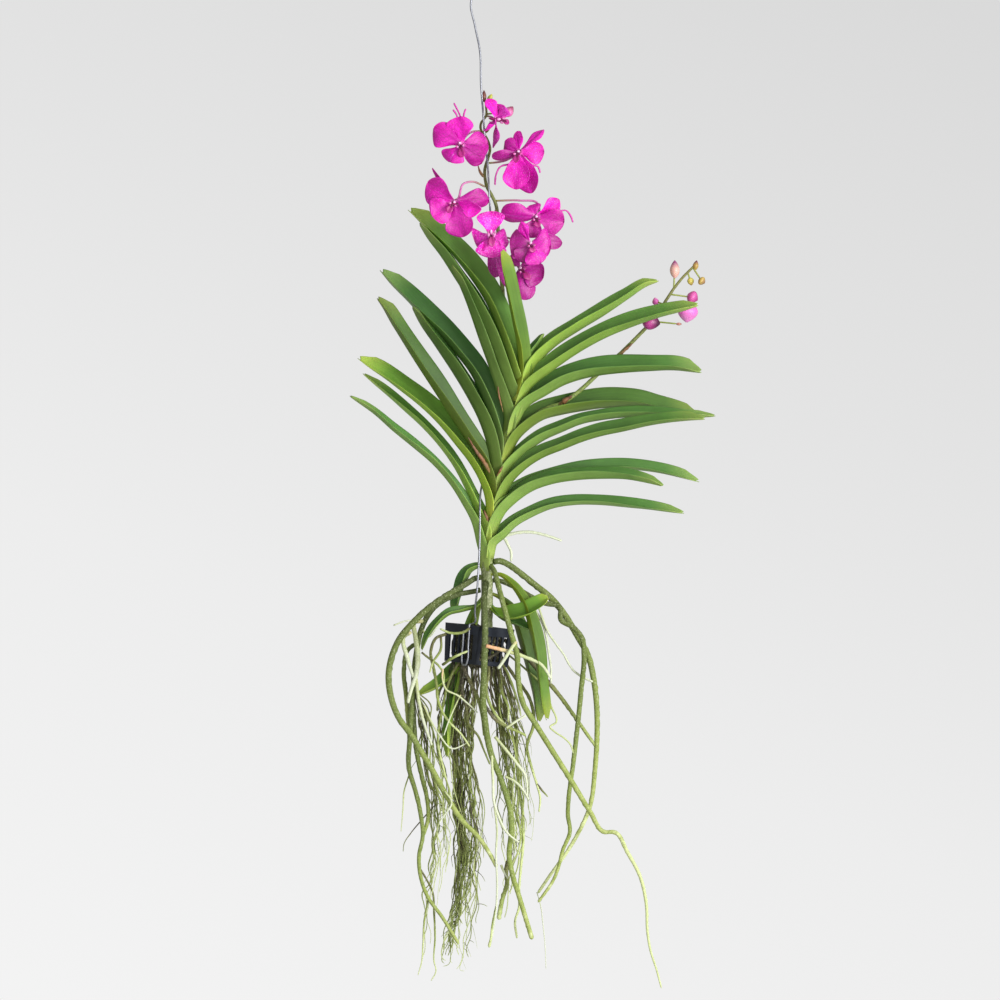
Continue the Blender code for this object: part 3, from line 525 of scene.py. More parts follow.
@dataclass(frozen=True)
class StemSkin:
    """Green stem or flower stalk: a smooth skin with freckles and grey, dried patches."""

    name: str
    along: Stops
    freckle: str
    grey: float = 0.0
    freckle_mm: float = 2.2
    roughness: float = 0.55
    patch_mm: float = 1000 / 90
    dried: str = "#A8A68C"

    def build(self) -> bpy.types.Material:
        """Make the material."""
        material, tree, skin = start_material(self.name)
        tone = add(tree, "Attribute", attribute_name="tone").outputs["Vector"]
        marks = add(tree, "SeparateXYZ", {0: tone})
        spot = add(tree, "TexCoord").outputs["Object"]
        body = add(tree, "ValToRGB", {0: marks.outputs[0]}, self.along)
        noise = add(tree, "TexNoise", {"Vector": spot, "Scale": 1000 / self.freckle_mm,
                                       "Detail": 3.0})
        patch = add(tree, "TexNoise", {"Vector": spot, "Scale": 1000 / self.patch_mm,
                                       "Detail": 3.0})
        where = add(tree, "MapRange", {0: noise.outputs[0], 1: 0.5, 2: 0.66, 3: 0.0, 4: 0.75})
        speckled = add(tree, "Mix", {0: where.outputs[0], MIX_A: body.outputs[0],
                                     MIX_B: linear(self.freckle)}, data_type="RGBA")
        dry = add(tree, "MapRange", {0: patch.outputs[0], 1: 0.45, 2: 0.7, 3: 0.0, 4: self.grey})
        dried = add(tree, "Mix", {0: dry.outputs[0], MIX_A: speckled.outputs[MIX_OUT],
                                  MIX_B: linear(self.dried)}, data_type="RGBA")
        bump = add(tree, "Bump", {"Height": noise.outputs[0], "Strength": 0.4, "Distance": 0.0004})
        feed(tree, skin, {"Base Color": dried.outputs[MIX_OUT], "Roughness": self.roughness,
                          "Normal": bump.outputs[0]})
        return material


@dataclass(frozen=True)
class PetalTissue:
    """Vanda petal: thin velvety tissue with a net of darker veins and pale flecks.

    Light passes through it, so it glows where it is thin, and the claw is a pale pink.
    The meshes of the net are 2.4 mm wide and long drawn.
    """

    name: str = "vanda_petal_tissue"
    front: Stops = (
        (0.0, "#F2AEE0"), (0.05, "#EE70CE"), (0.14, "#EB3CC2"), (0.6, "#E930BD"), (1.0, "#DC26AE"))
    back: str = "#E45CC8"
    net: str = "#A80E7C"
    fleck: str = "#FBB6F0"
    mesh_mm: float = 2.4
    roughness: float = 0.52
    cloud_mm: float = 1000 / 70
    sheen: float = 0.1
    glow: float = 0.15
    glow_reach: Spot = (0.004, 0.001, 0.003)

    def build(self) -> bpy.types.Material:
        """Make the material."""
        material, tree, skin = start_material(self.name)
        span = add(tree, "Attribute", attribute_name="span").outputs["Vector"]
        tone = add(tree, "Attribute", attribute_name="tone").outputs["Vector"]
        on = add(tree, "SeparateXYZ", {0: span})
        marks = add(tree, "SeparateXYZ", {0: tone})
        front = add(tree, "ValToRGB", {0: marks.outputs[0]}, self.front)
        faces = add(tree, "Mix", {0: on.outputs[2], MIX_A: front.outputs[0],
                                  MIX_B: linear(self.back)}, data_type="RGBA")
        size = 1 / self.mesh_mm
        flat = add(tree, "Mapping", {"Vector": span, "Scale": (size, size * 0.55, 0.0)})
        jitter = add(tree, "TexNoise", {"Vector": flat.outputs[0], "Scale": 0.9, "Detail": 2.0})
        bent = add(tree, "VectorMath", {0: flat.outputs[0], 1: jitter.outputs[1]}, operation="ADD")
        cells = add(tree, "TexVoronoi", {"Vector": bent.outputs[0], "Scale": 1.0},
                    feature="DISTANCE_TO_EDGE")
        lines = add(tree, "MapRange", {0: cells.outputs[0], 1: 0.02, 2: 0.18, 3: 0.62, 4: 0.0})
        netted = add(tree, "Mix", {0: lines.outputs[0], MIX_A: faces.outputs[MIX_OUT],
                                   MIX_B: linear(self.net)}, data_type="RGBA")
        grit = add(tree, "TexNoise", {"Vector": span, "Scale": 0.75, "Detail": 1.0})
        share = add(tree, "MapRange", {0: marks.outputs[2], 1: 0.0, 2: 1.0, 3: 0.72, 4: 0.58})
        level = add(tree, "Math", {0: grit.outputs[0], 1: share.outputs[0]}, operation="SUBTRACT")
        dots = add(tree, "MapRange", {0: level.outputs[0], 1: 0.0, 2: 0.04, 3: 0.0, 4: 0.6})
        flecked = add(tree, "Mix", {0: dots.outputs[0], MIX_A: netted.outputs[MIX_OUT],
                                    MIX_B: linear(self.fleck)}, data_type="RGBA")
        clouds = add(tree, "TexNoise", {"Vector": add(tree, "TexCoord").outputs["Object"],
                                        "Scale": 1000 / self.cloud_mm, "Detail": 3.0})
        # the tone carries the petals' painted light and shade into the colour's value
        own = add(tree, "MapRange", {0: marks.outputs[1], 1: -0.4, 2: 1.0, 3: 0.36, 4: 1.16})
        cloud = add(tree, "MapRange", {0: clouds.outputs[0], 1: 0.3, 2: 0.7, 3: 0.9, 4: 1.08})
        value = add(tree, "Math", {0: own.outputs[0], 1: cloud.outputs[0]}, operation="MULTIPLY")
        tuned = add(tree, "HueSaturation", {"Saturation": 1.08, "Value": value.outputs[0],
                                            "Color": flecked.outputs[MIX_OUT]})
        bump = add(tree, "Bump", {"Height": cells.outputs[0], "Strength": 0.3, "Distance": 0.0003})
        feed(tree, skin, {
            "Base Color": tuned.outputs[0], "Roughness": self.roughness,
            "Sheen Weight": self.sheen, "Sheen Roughness": 0.5,
            "Sheen Tint": linear("#FF9CEB"), "Subsurface Weight": self.glow,
            "Subsurface Radius": self.glow_reach, "Subsurface Scale": 1.0,
            "Normal": bump.outputs[0]})
        return material


@dataclass(frozen=True)
class TintedTissue:
    """Bud, lip and column: firm waxy tissue whose colour each skin brings along."""

    name: str = "orchid_bud_tissue"
    freckle: str = "#7A1450"
    freckle_mm: float = 1.6
    share: float = 0.25
    roughness: float = 0.42
    glow: float = 0.2
    glow_reach: Spot = (0.003, 0.001, 0.002)

    def build(self) -> bpy.types.Material:
        """Make the material."""
        material, tree, skin = start_material(self.name)
        tint = add(tree, "Attribute", attribute_name="tint").outputs["Color"]
        spot = add(tree, "TexCoord").outputs["Object"]
        noise = add(tree, "TexNoise", {"Vector": spot, "Scale": 1000 / self.freckle_mm,
                                       "Detail": 2.0})
        where = add(tree, "MapRange", {0: noise.outputs[0], 1: 0.55, 2: 0.7, 3: 0.0,
                                       4: self.share})
        spotted = add(tree, "Mix", {0: where.outputs[0], MIX_A: tint, MIX_B: linear(self.freckle)},
                      data_type="RGBA")
        bump = add(tree, "Bump", {"Height": noise.outputs[0], "Strength": 0.2, "Distance": 0.0003})
        feed(tree, skin, {
            "Base Color": spotted.outputs[MIX_OUT], "Roughness": self.roughness,
            "Subsurface Weight": self.glow, "Subsurface Radius": self.glow_reach,
            "Subsurface Scale": 1.0, "Normal": bump.outputs[0]})
        return material


@dataclass(frozen=True)
class RootVelamen:
    """Aerial root: spongy, matt, silvery skin over green, freckled white, with pale tips.

    The freckles are breathing pores 0.8 mm wide, drawn as 1.6 mm so that they show.
    """

    name: str
    along: Stops
    pore: str = "#D8DEC0"
    shadow: str = "#57602F"
    pore_mm: float = 1.6
    cloud_mm: float = 9.0
    spread: float = 0.3
    roughness: float = 0.72
    specular: float = 0.3

    def build(self) -> bpy.types.Material:
        """Make the material."""
        material, tree, skin = start_material(self.name)
        tone = add(tree, "Attribute", attribute_name="tone").outputs["Vector"]
        marks = add(tree, "SeparateXYZ", {0: tone})
        spot = add(tree, "TexCoord").outputs["Object"]
        cloud = add(tree, "TexNoise", {"Vector": spot, "Scale": 1000 / self.cloud_mm,
                                       "Detail": 4.0})
        drift = add(tree, "MapRange", {0: cloud.outputs[0], 1: 0.3, 2: 0.7, 3: -0.10, 4: 0.10})
        own = add(tree, "MapRange", {0: marks.outputs[1], 1: 0.0, 2: 1.0, 3: -self.spread / 2,
                                     4: self.spread / 2})
        moved = add(tree, "Math", {0: drift.outputs[0], 1: own.outputs[0]}, operation="ADD")
        moved = add(tree, "Math", {0: moved.outputs[0], 1: marks.outputs[0]}, operation="ADD")
        moved = add(tree, "Math", {0: moved.outputs[0], 1: marks.outputs[2]}, operation="ADD")
        body = add(tree, "ValToRGB", {0: moved.outputs[0]}, self.along)
        fine = add(tree, "TexNoise", {"Vector": spot, "Scale": 1000 / self.pore_mm, "Detail": 3.0,
                                      "Roughness": 0.6})
        dark = add(tree, "MapRange", {0: fine.outputs[0], 1: 0.46, 2: 0.3, 3: 0.0, 4: 0.55})
        light = add(tree, "MapRange", {0: fine.outputs[0], 1: 0.56, 2: 0.68, 3: 0.0, 4: 0.7})
        dimmed = add(tree, "Mix", {0: dark.outputs[0], MIX_A: body.outputs[0],
                                   MIX_B: linear(self.shadow)}, data_type="RGBA")
        pored = add(tree, "Mix", {0: light.outputs[0], MIX_A: dimmed.outputs[MIX_OUT],
                                  MIX_B: linear(self.pore)}, data_type="RGBA")
        bump = add(tree, "Bump", {"Height": fine.outputs[0], "Strength": 0.5, "Distance": 0.0005})
        feed(tree, skin, {
            "Base Color": pored.outputs[MIX_OUT], "Roughness": self.roughness,
            "Specular IOR Level": self.specular, "Normal": bump.outputs[0]})
        return material


@dataclass(frozen=True)
class MouldedPolypropylene:
    """Basket: injection-moulded polypropylene, dull, dusty where roots and water touch it."""

    name: str = "moulded_polypropylene"
    body: str = "#141926"
    dust: str = "#2F3747"
    grain_mm: float = 0.7
    film_mm: float = 1000 / 110
    roughness: float = 0.46

    def build(self) -> bpy.types.Material:
        """Make the material."""
        material, tree, skin = start_material(self.name)
        spot = add(tree, "TexCoord").outputs["Object"]
        film = add(tree, "TexNoise", {"Vector": spot, "Scale": 1000 / self.film_mm,
                                      "Detail": 5.0, "Roughness": 0.65})
        where = add(tree, "MapRange", {0: film.outputs[0], 1: 0.5, 2: 0.75, 3: 0.0, 4: 0.6})
        body = add(tree, "Mix", {0: where.outputs[0], MIX_A: linear(self.body),
                                 MIX_B: linear(self.dust)}, data_type="RGBA")
        rough = add(tree, "MapRange", {0: film.outputs[0], 1: 0.3, 2: 0.7, 3: self.roughness - 0.1,
                                       4: self.roughness + 0.2})
        grain = add(tree, "TexNoise", {"Vector": spot, "Scale": 1000 / self.grain_mm,
                                       "Detail": 2.0})
        bump = add(tree, "Bump", {"Height": grain.outputs[0], "Strength": 0.15,
                                  "Distance": 0.0002})
        feed(tree, skin, {"Base Color": body.outputs[MIX_OUT], "Roughness": rough.outputs[0],
                          "Normal": bump.outputs[0]})
        return material


@dataclass(frozen=True)
class GalvanisedWire:
    """Hanger: drawn steel wire with a dull zinc coat, a little whitened by weather."""

    name: str = "galvanised_steel_wire"
    zinc: str = "#8B8D96"
    bloom: str = "#B0B2B8"
    spangle_mm: float = 3.0
    roughness: float = 0.38
    metallic: float = 0.85

    def build(self) -> bpy.types.Material:
        """Make the material."""
        material, tree, skin = start_material(self.name)
        spot = add(tree, "TexCoord").outputs["Object"]
        film = add(tree, "TexNoise", {"Vector": spot, "Scale": 1000 / self.spangle_mm,
                                      "Detail": 4.0})
        where = add(tree, "MapRange", {0: film.outputs[0], 1: 0.4, 2: 0.7, 3: 0.0, 4: 0.7})
        body = add(tree, "Mix", {0: where.outputs[0], MIX_A: linear(self.zinc),
                                 MIX_B: linear(self.bloom)}, data_type="RGBA")
        rough = add(tree, "MapRange", {0: film.outputs[0], 1: 0.3, 2: 0.7,
                                       3: self.roughness - 0.08, 4: self.roughness + 0.2})
        feed(tree, skin, {"Base Color": body.outputs[MIX_OUT], "Roughness": rough.outputs[0],
                          "Metallic": self.metallic})
        return material


class Hand(Enum):
    """Which way a leaf arches from the stem."""

    RIGHT = 1
    LEFT = -1


@dataclass(frozen=True)
class Leaf:
    """One strap leaf: its keel from the stem to the tip, and how it is turned.

    Attributes:
        hand: the side it arches to.
        half_mm: from keel to margin at its widest.
        roll_deg: turns the fold about the keel; below zero it shows its outside.
        swing_mm: how far the tip leans away from the viewer.
        keel: points of the drawing.
        base: the share of the width that it has at the stem; without one it clasps the
            stem with a sheath of its own width.
        tone: lighter above 0.5, darker below.
        warmth: from -1, blue-green, to 1, yellow-green.
    """

    hand: Hand
    half_mm: float
    roll_deg: float
    swing_mm: float
    keel: tuple[tuple[float, ...], ...]
    base: float | None = None
    tone: float = 0.5
    warmth: float = 0.0

    FOLD_BASE_DEG = 24
    FOLD_TIP_DEG = 58
    THICKNESS = 0.0014
    SHEATH_MM = 20.0
    BREADTH = 1.16
    LOBES = ([-1.0, -0.5, 0.0, 0.5, 1.0], [0.055, 0.0, 0.014, 0.004, 0.065])
    RIB = 0.0008
    STRIPS, RINGS, CROWDING = 11, 60, 1.15

    def surface(self, path: Path, phase: float) -> Surface:
        """Give the leaf's mid surface.

        Across the strap, a point rises from the keel by the fold's cosine and goes out by
        its sine, both times the half width; the near and far halves are then shifted so
        that the visible band is centred on the keel's line. At the tip, v is cut back by a
        notched outline, which leaves two unequal lobes. The margins wave by half a
        millimetre.

        Args:
            path: the keel's line.
            phase: where the margins' wave starts.

        Returns:
            The function of u and v.
        """
        roll = math.radians(self.roll_deg)
        half = self.half_mm * self.BREADTH * MM
        flare = self.base or self.SHEATH_MM / self.half_mm / self.BREADTH

        def shape(u: np.ndarray, v: np.ndarray) -> np.ndarray:
            u = -u * self.hand.value
            s = v - eased(u, *self.LOBES) * np.clip(v, 0, None) ** 8
            width = half * eased(s, [0.0, 0.06, 0.18, 0.36, 0.8, 0.94, 1.0],
                                 [0.8 * flare, flare, 0.5 + 0.5 * flare, 1.04, 0.97, 0.78, 0.5])
            fold = np.radians(self.FOLD_BASE_DEG + (self.FOLD_TIP_DEG - self.FOLD_BASE_DEG) * s)
            heading = path.heading(np.clip(s, 0, 1))
            back = np.array([0.0, 1.0, 0.0])
            back = unit(back - heading * heading[..., 1:2])
            upper = np.cross(heading, back) * self.hand.value
            opening = upper * math.cos(roll) + back * math.sin(roll)
            breadth = upper * math.sin(roll) - back * math.cos(roll)
            rise = np.sqrt(u * u + 0.1**2) - 0.1
            near, far = np.cos(fold - roll), np.cos(fold + roll)
            high = np.maximum(np.maximum(near, far), 0)
            low = np.minimum(np.minimum(near, far), 0)
            wave = 0.0005 * u**4 * np.sin(17 * s + phase + 2 * np.sign(u))
            spot = path.at(s) - upper * (width * 0.5 * (high + low))[..., None]
            spot = spot + opening * (width * rise * np.cos(fold) + wave)[..., None]
            return spot - breadth * (width * u * np.sin(fold))[..., None]

        return shape

    def loft(self, phase: float, foot: Points) -> Loft:
        """Make the leaf's skin.

        Args:
            phase: where the margins' wave starts.
            foot: points before the keel's own, down the stem, which the sheath clasps.

        Returns:
            The skin.
        """
        path = Path([*foot, *self.keel], self.swing_mm)
        return blade(self.surface(path, phase), self.STRIPS, self.RINGS, self.THICKNESS,
                     self.half_mm * MM, path.length, self.tone, self.CROWDING, self.warmth,
                     self.RIB)


@dataclass
class LeafyShoot:
    """The stem with its two ranks of leaves, its lower leaves, stalk, spike and buds."""

    seed: int = 5
    upper: tuple[Leaf, ...] = (
        Leaf(Hand.RIGHT, 12, -25, -12, ((490, 540), (500, 532), (512, 521), (530, 511),
             (550, 503), (575, 499), (600, 499), (630, 502), (660, 506), (684, 511))),
        Leaf(Hand.RIGHT, 17, -12, -42, ((493, 520), (500, 508), (510, 498), (530, 484),
             (550, 477), (575, 473), (600, 472), (630, 474), (650, 479), (663, 484))),
        Leaf(Hand.RIGHT, 13, -28, 22, ((496, 503), (510, 492), (530, 480), (550, 473),
             (575, 467), (600, 464), (630, 463), (660, 467), (680, 472), (700, 479))),
        Leaf(Hand.RIGHT, 15, -22, -46, ((497, 497), (505, 480), (520, 464), (540, 451),
             (560, 443), (580, 435), (600, 429), (620, 425), (650, 419), (690, 416), (704, 417)),
             tone=0.4, warmth=0.2),
        Leaf(Hand.RIGHT, 14, -16, -4, ((500, 474), (508, 462), (520, 450), (540, 435),
             (560, 426), (580, 418), (600, 414), (630, 411), (660, 411), (690, 413), (715, 414))),
        Leaf(Hand.RIGHT, 22, -24, 46, ((506, 446), (512, 434), (522, 423), (540, 410),
             (560, 404), (580, 400), (600, 397), (620, 396), (640, 397), (660, 402), (703, 414)),
             tone=0.2, warmth=0.4),
        Leaf(Hand.RIGHT, 21, -22, -10, ((512, 418), (518, 405), (526, 397), (540, 388),
             (560, 376), (580, 369), (600, 365), (620, 363), (650, 362), (680, 363), (702, 369))),
        Leaf(Hand.RIGHT, 18, -22, -30, ((519, 396), (524, 384), (532, 376), (545, 366),
             (570, 348), (600, 331), (630, 319), (660, 310), (697, 303)), tone=0.7, warmth=0.3),
        Leaf(Hand.RIGHT, 17, -16, 26, ((525, 376), (528, 366), (535, 356), (550, 341),
             (575, 324), (600, 309), (625, 293), (645, 281), (658, 278)), tone=0.95, warmth=0.4),
        Leaf(Hand.RIGHT, 9, -15, 4, ((527, 366), (530, 352), (536, 342), (543, 333))),
        Leaf(Hand.LEFT, 14, -34, -50, ((525, 376), (525, 352), (520, 322), (514, 292),
             (509, 270), (504, 251)), tone=0.58, warmth=0.9),
        Leaf(Hand.LEFT, 21, -30, 12, ((523, 384), (519, 366), (513, 343), (506, 322),
             (495, 296), (479, 271), (459, 247), (439, 228), (420, 212), (411, 206)),
             tone=1.15, warmth=0.4),
        Leaf(Hand.LEFT, 19, -4, -20, ((517, 404), (510, 380), (500, 352), (489, 325),
             (474, 296), (460, 275), (444, 252), (430, 235), (421, 223)), tone=0.3),
        Leaf(Hand.LEFT, 15, -2, -40, ((511, 420), (504, 395), (495, 368), (484, 338),
             (473, 308), (463, 285), (453, 266)), tone=0.1),
        Leaf(Hand.LEFT, 20, -28, 22, ((504, 440), (499, 418), (490, 392), (479, 368),
             (466, 350), (449, 330), (430, 311), (410, 291), (391, 274), (383, 267)),
             tone=0.35, warmth=-0.3),
        Leaf(Hand.LEFT, 19, -6, -16, ((498, 466), (494, 443), (486, 418), (474, 394),
             (458, 368), (441, 344), (426, 324), (414, 306)), tone=0.05),
        Leaf(Hand.LEFT, 18, -22, -46, ((495, 484), (489, 462), (474, 437), (458, 412),
             (440, 384), (420, 354), (400, 324), (388, 306), (380, 297)), tone=0.0, warmth=0.5),
        Leaf(Hand.LEFT, 18, -30, 4, ((494, 501), (488, 479), (477, 458), (462, 438),
             (445, 417), (425, 398), (405, 383), (385, 369), (360, 355)), tone=1.4, warmth=0.7),
        Leaf(Hand.LEFT, 11, -20, 32, ((490, 531), (482, 512), (471, 488), (458, 464),
             (443, 443), (425, 423), (405, 405), (385, 388), (364, 372)), tone=1.15, warmth=0.3),
        Leaf(Hand.LEFT, 11, -14, -6, ((487, 553), (483, 540), (477, 520), (466, 500),
             (452, 479), (435, 460), (415, 443), (395, 427), (375, 410), (351, 395)), tone=0.6),
    )
    lower: tuple[Leaf, ...] = (
        Leaf(Hand.RIGHT, 12, -30, 0, ((489, 574, 0), (500, 574, -8), (513, 583, -14),
             (526, 600, -18), (535, 625, -22), (541, 652, -20), (544, 684, -16),
             (549, 719, -12)), 0.3, 0.45, 1.0),
        Leaf(Hand.RIGHT, 14, -30, 0, ((489, 592, 0), (502, 598, 8), (516, 614, 16),
             (527, 642, 22), (535, 672, 22), (540, 700, 18), (541, 722, 14)), 0.3, 0.05, 0.8),
        Leaf(Hand.RIGHT, 14, -38, 0, ((489, 606, 0), (499, 611, -10), (511, 611, -20),
             (525, 607, -28), (538, 600, -32), (547, 595, -33)), 0.3, 1.1, 0.8),
        Leaf(Hand.RIGHT, 8, -30, 0, ((489, 601, 0), (497, 611, -4), (509, 618, -10),
             (521, 622, -14), (534, 629, -16)), 0.3, 0.3, 0.0),
        Leaf(Hand.LEFT, 11, -26, 0, ((487, 568, 0), (478, 565, 6), (469, 568, 8),
             (461, 579, 10), (456, 594, 10), (454, 606, 8), (455, 612, 6)), 0.3, 0.5, 0.0),
        Leaf(Hand.LEFT, 7, -26, 0, ((487, 597, 0), (476, 605, -10), (462, 608, -20),
             (448, 611, -28), (436, 621, -34), (426, 635, -34), (421, 649, -30)), 0.3, 0.3, 0.2),
        Leaf(Hand.LEFT, 12, -20, 0, ((488, 590, 0), (481, 600, 24), (471, 620, 50),
             (463, 648, 52), (456, 678, 26), (450, 704, 4), (446, 730, -6),
             (446, 757, -8)), 0.3, 1.0, 0.6),
        Leaf(Hand.LEFT, 13, -24, 0, ((488, 594, 0), (478, 606, 24), (470, 630, 46),
             (463, 656, 42), (450, 671, 16), (434, 684, 0), (417, 693, -6)), 0.3, 1.1, 0.7),
    )
    stem_line: Points = ((527, 362), (522, 385), (515, 405), (510, 430), (503, 455), (500, 480),
                         (496, 500), (492, 520), (488, 540), (487, 560), (487, 600), (486, 649.2))
    stalk_line: Points = (
        (512, 404, 0), (509, 370, 8), (505, 320, 12), (501, 270, 12), (498, 230, 8),
        (495, 202, 4), (491, 194, 3), (487, 187, 3), (485, 178, 3), (485, 168, 3),
        (488, 158, 3), (490, 149, 3), (488, 141, 3), (484, 134, 3), (481, 130, 3),
        (481, 123, 3), (486, 116, 3), (486, 106, 3), (484, 92, 3))
    spike_line: Points = (
        (507, 437, 0), (526, 422, 4), (548, 408, 8), (562, 403, 10), (574, 395, 13),
        (600, 372, 16), (622, 352, 16), (640, 334, 14), (655, 318, 12), (667, 299, 12),
        (675, 287, 12), (684, 276, 12), (692, 268, 12), (697, 263, 12))
    # centre, tip, width in steps, where its stem leaves from, colour, colour of its nose
    buds: tuple[tuple, ...] = (
        ((484, 96, 3), (484, 90, 3), 5, (485, 102, 3), "#7A4A3C", "#5A2E2E"),
        ((490, 98, 0), (492, 94, -1), 5, (486, 106, 3), "#A6A83C", "#B8B84C"),
        ((509, 111, 12), (513, 106, 12), 10, (486, 114, 3), "#D873A8", "#8C3C58"),
        ((675, 269, 10), (675, 260, 10), 10, (674, 288, 12), "#D9AA9C", "#8A3E70"),
        ((696, 265, 12), (697, 260, 12), 6, (692, 268, 12), "#A88A44", "#6E3C48"),
        ((702, 281, 6), (705, 283, 5), 9, (693, 267, 12), "#B59A4C", "#8A6A4A"),
        ((691, 281, 16), (692, 285, 17), 7, (688, 272, 12), "#C9BC5A", "#B59A50"),
        ((693, 297, 14), (698, 300, 14), 13, (670, 294, 12), "#C9569C", "#A03478"),
        ((688, 312, 20), (687, 322, 20), 21, (665, 302, 12), "#DE72C0", "#E48CCB"),
        ((656, 301, 20), (655, 297, 20), 7, (664, 304, 12), "#CC5CA8", "#D87AB8"),
        ((651, 322, -2), (660, 324, -4), 17, (648, 326, 13), "#B03C86", "#3E1430"),
        ((679, 324, 2), (682, 324, 2), 3, (652, 321, 12), "#B07A68", "#8E5A4C"),
    )
    stemlet: str = "#8E9A48"
    # withered bracts and sheath ends: points, and radii in millimetres
    bracts: tuple[tuple[Points, Radii], ...] = (
        (((492, 476, -10), (484, 462, -21), (475, 449, -24), (468, 437, -24)),
            (1.2, 2.3, 1.7, 0.4)),
        (((503, 412, -8), (500, 400, -12), (497, 380, -12)), (0.5, 1.0, 0.3)),
        (((560, 405, 8), (566, 400, 4), (572, 396, 2)), (2.8, 3.0, 1.0)),
        (((489, 524, -8), (487, 518, -11), (484, 510, -10)), (1.2, 1.8, 0.5)),
        (((497, 476, -12), (500, 471, -16), (503, 466, -15)), (0.8, 1.4, 0.4)),
        (((620, 354, 16), (627, 348, 12), (633, 343, 10)), (2.0, 1.8, 0.6)),
        (((485, 178, 3), (480, 172, 1), (478, 165, 1)), (1.2, 1.6, 0.4)),
        (((484, 134, 3), (489, 128, 1), (490, 121, 0)), (1.2, 1.5, 0.4)),
    )

    NODE = "leafy_shoot"
    SHEATH_ROWS = 18

    def foot(self, leaf: Leaf) -> Points:
        """Give the point of the stem where an upper leaf's sheath begins, below its keel."""
        if leaf.base is not None:
            return ()
        row = leaf.keel[0][1] + self.SHEATH_ROWS
        columns, rows = zip(*self.stem_line)
        return ((float(np.interp(row, rows, columns)), row, 0.0),)

    def build(self, leaf: bpy.types.Material, stem: bpy.types.Material,
              stalk: bpy.types.Material, bud: bpy.types.Material,
              dry: bpy.types.Material) -> None:
        """Make the shoot's pieces in the place of its node.

        Args:
            leaf: the leaves' finish.
            stem: the stem's finish.
            stalk: the finish of the flower stalk and the spike.
            bud: the buds' finish.
            dry: the finish of withered bracts.
        """
        draw = np.random.default_rng(self.seed)
        ranks = (
            ("right_leaves", [each for each in self.upper if each.hand is Hand.RIGHT]),
            ("left_leaves", [each for each in self.upper if each.hand is Hand.LEFT]),
            ("lower_leaves", self.lower))
        for name, leaves in ranks:
            lofts = [each.loft(float(draw.uniform(0, PHASES)), self.foot(each))
                     for each in leaves]
            skin_piece(name, lofts, leaf, "leaf", self.NODE)
        stems = (
            ("stem", self.stem_line, (5.0, 6.8, 6.8, 7.2), 120, 24, 0.05, stem),
            ("flower_stalk", self.stalk_line, (3.2, 2.6, 2.0, 1.2), 160, 14, 0.06, stalk),
            ("bud_spike", self.spike_line, (3.2, 2.6, 2.2, 1.4), 120, 14, 0.06, stalk))
        for name, line, radii, rows, ring, wobble, finish in stems:
            skin = tube(Path(line), radii, rows, ring, wobble, draw)
            skin_piece(name, [skin], finish, "leaf", self.NODE)
        lofts = []
        for centre, tip, width, root, tint, nose in self.buds:
            middle, end = place([centre, tip])
            lofts.append(bead(middle, end, width * STEP, tint, nose, float(draw.random())))
            stemlet = tube(Path([root, centre]), (1.1, 0.9), 6, 10, 0.05, draw)
            lofts.append(replace(stemlet, tint=rgb(self.stemlet)))
        skin_piece("buds", lofts, bud, "bloom", self.NODE)
        lofts = [tube(Path(points), radii, 40, 12, 0.22, draw) for points, radii in self.bracts]
        skin_piece("dry_bracts", lofts, dry, "leaf", self.NODE)


@dataclass(frozen=True)
class Petal:
    """One sepal or petal: its tip, its width in steps, its bulge in mm, its roll, and its shade,
    which is painted light above 0 and painted shade below.
    """

    tip: Spot
    width: float
    bulge: float
    roll_deg: float
    shade: float = 0.0


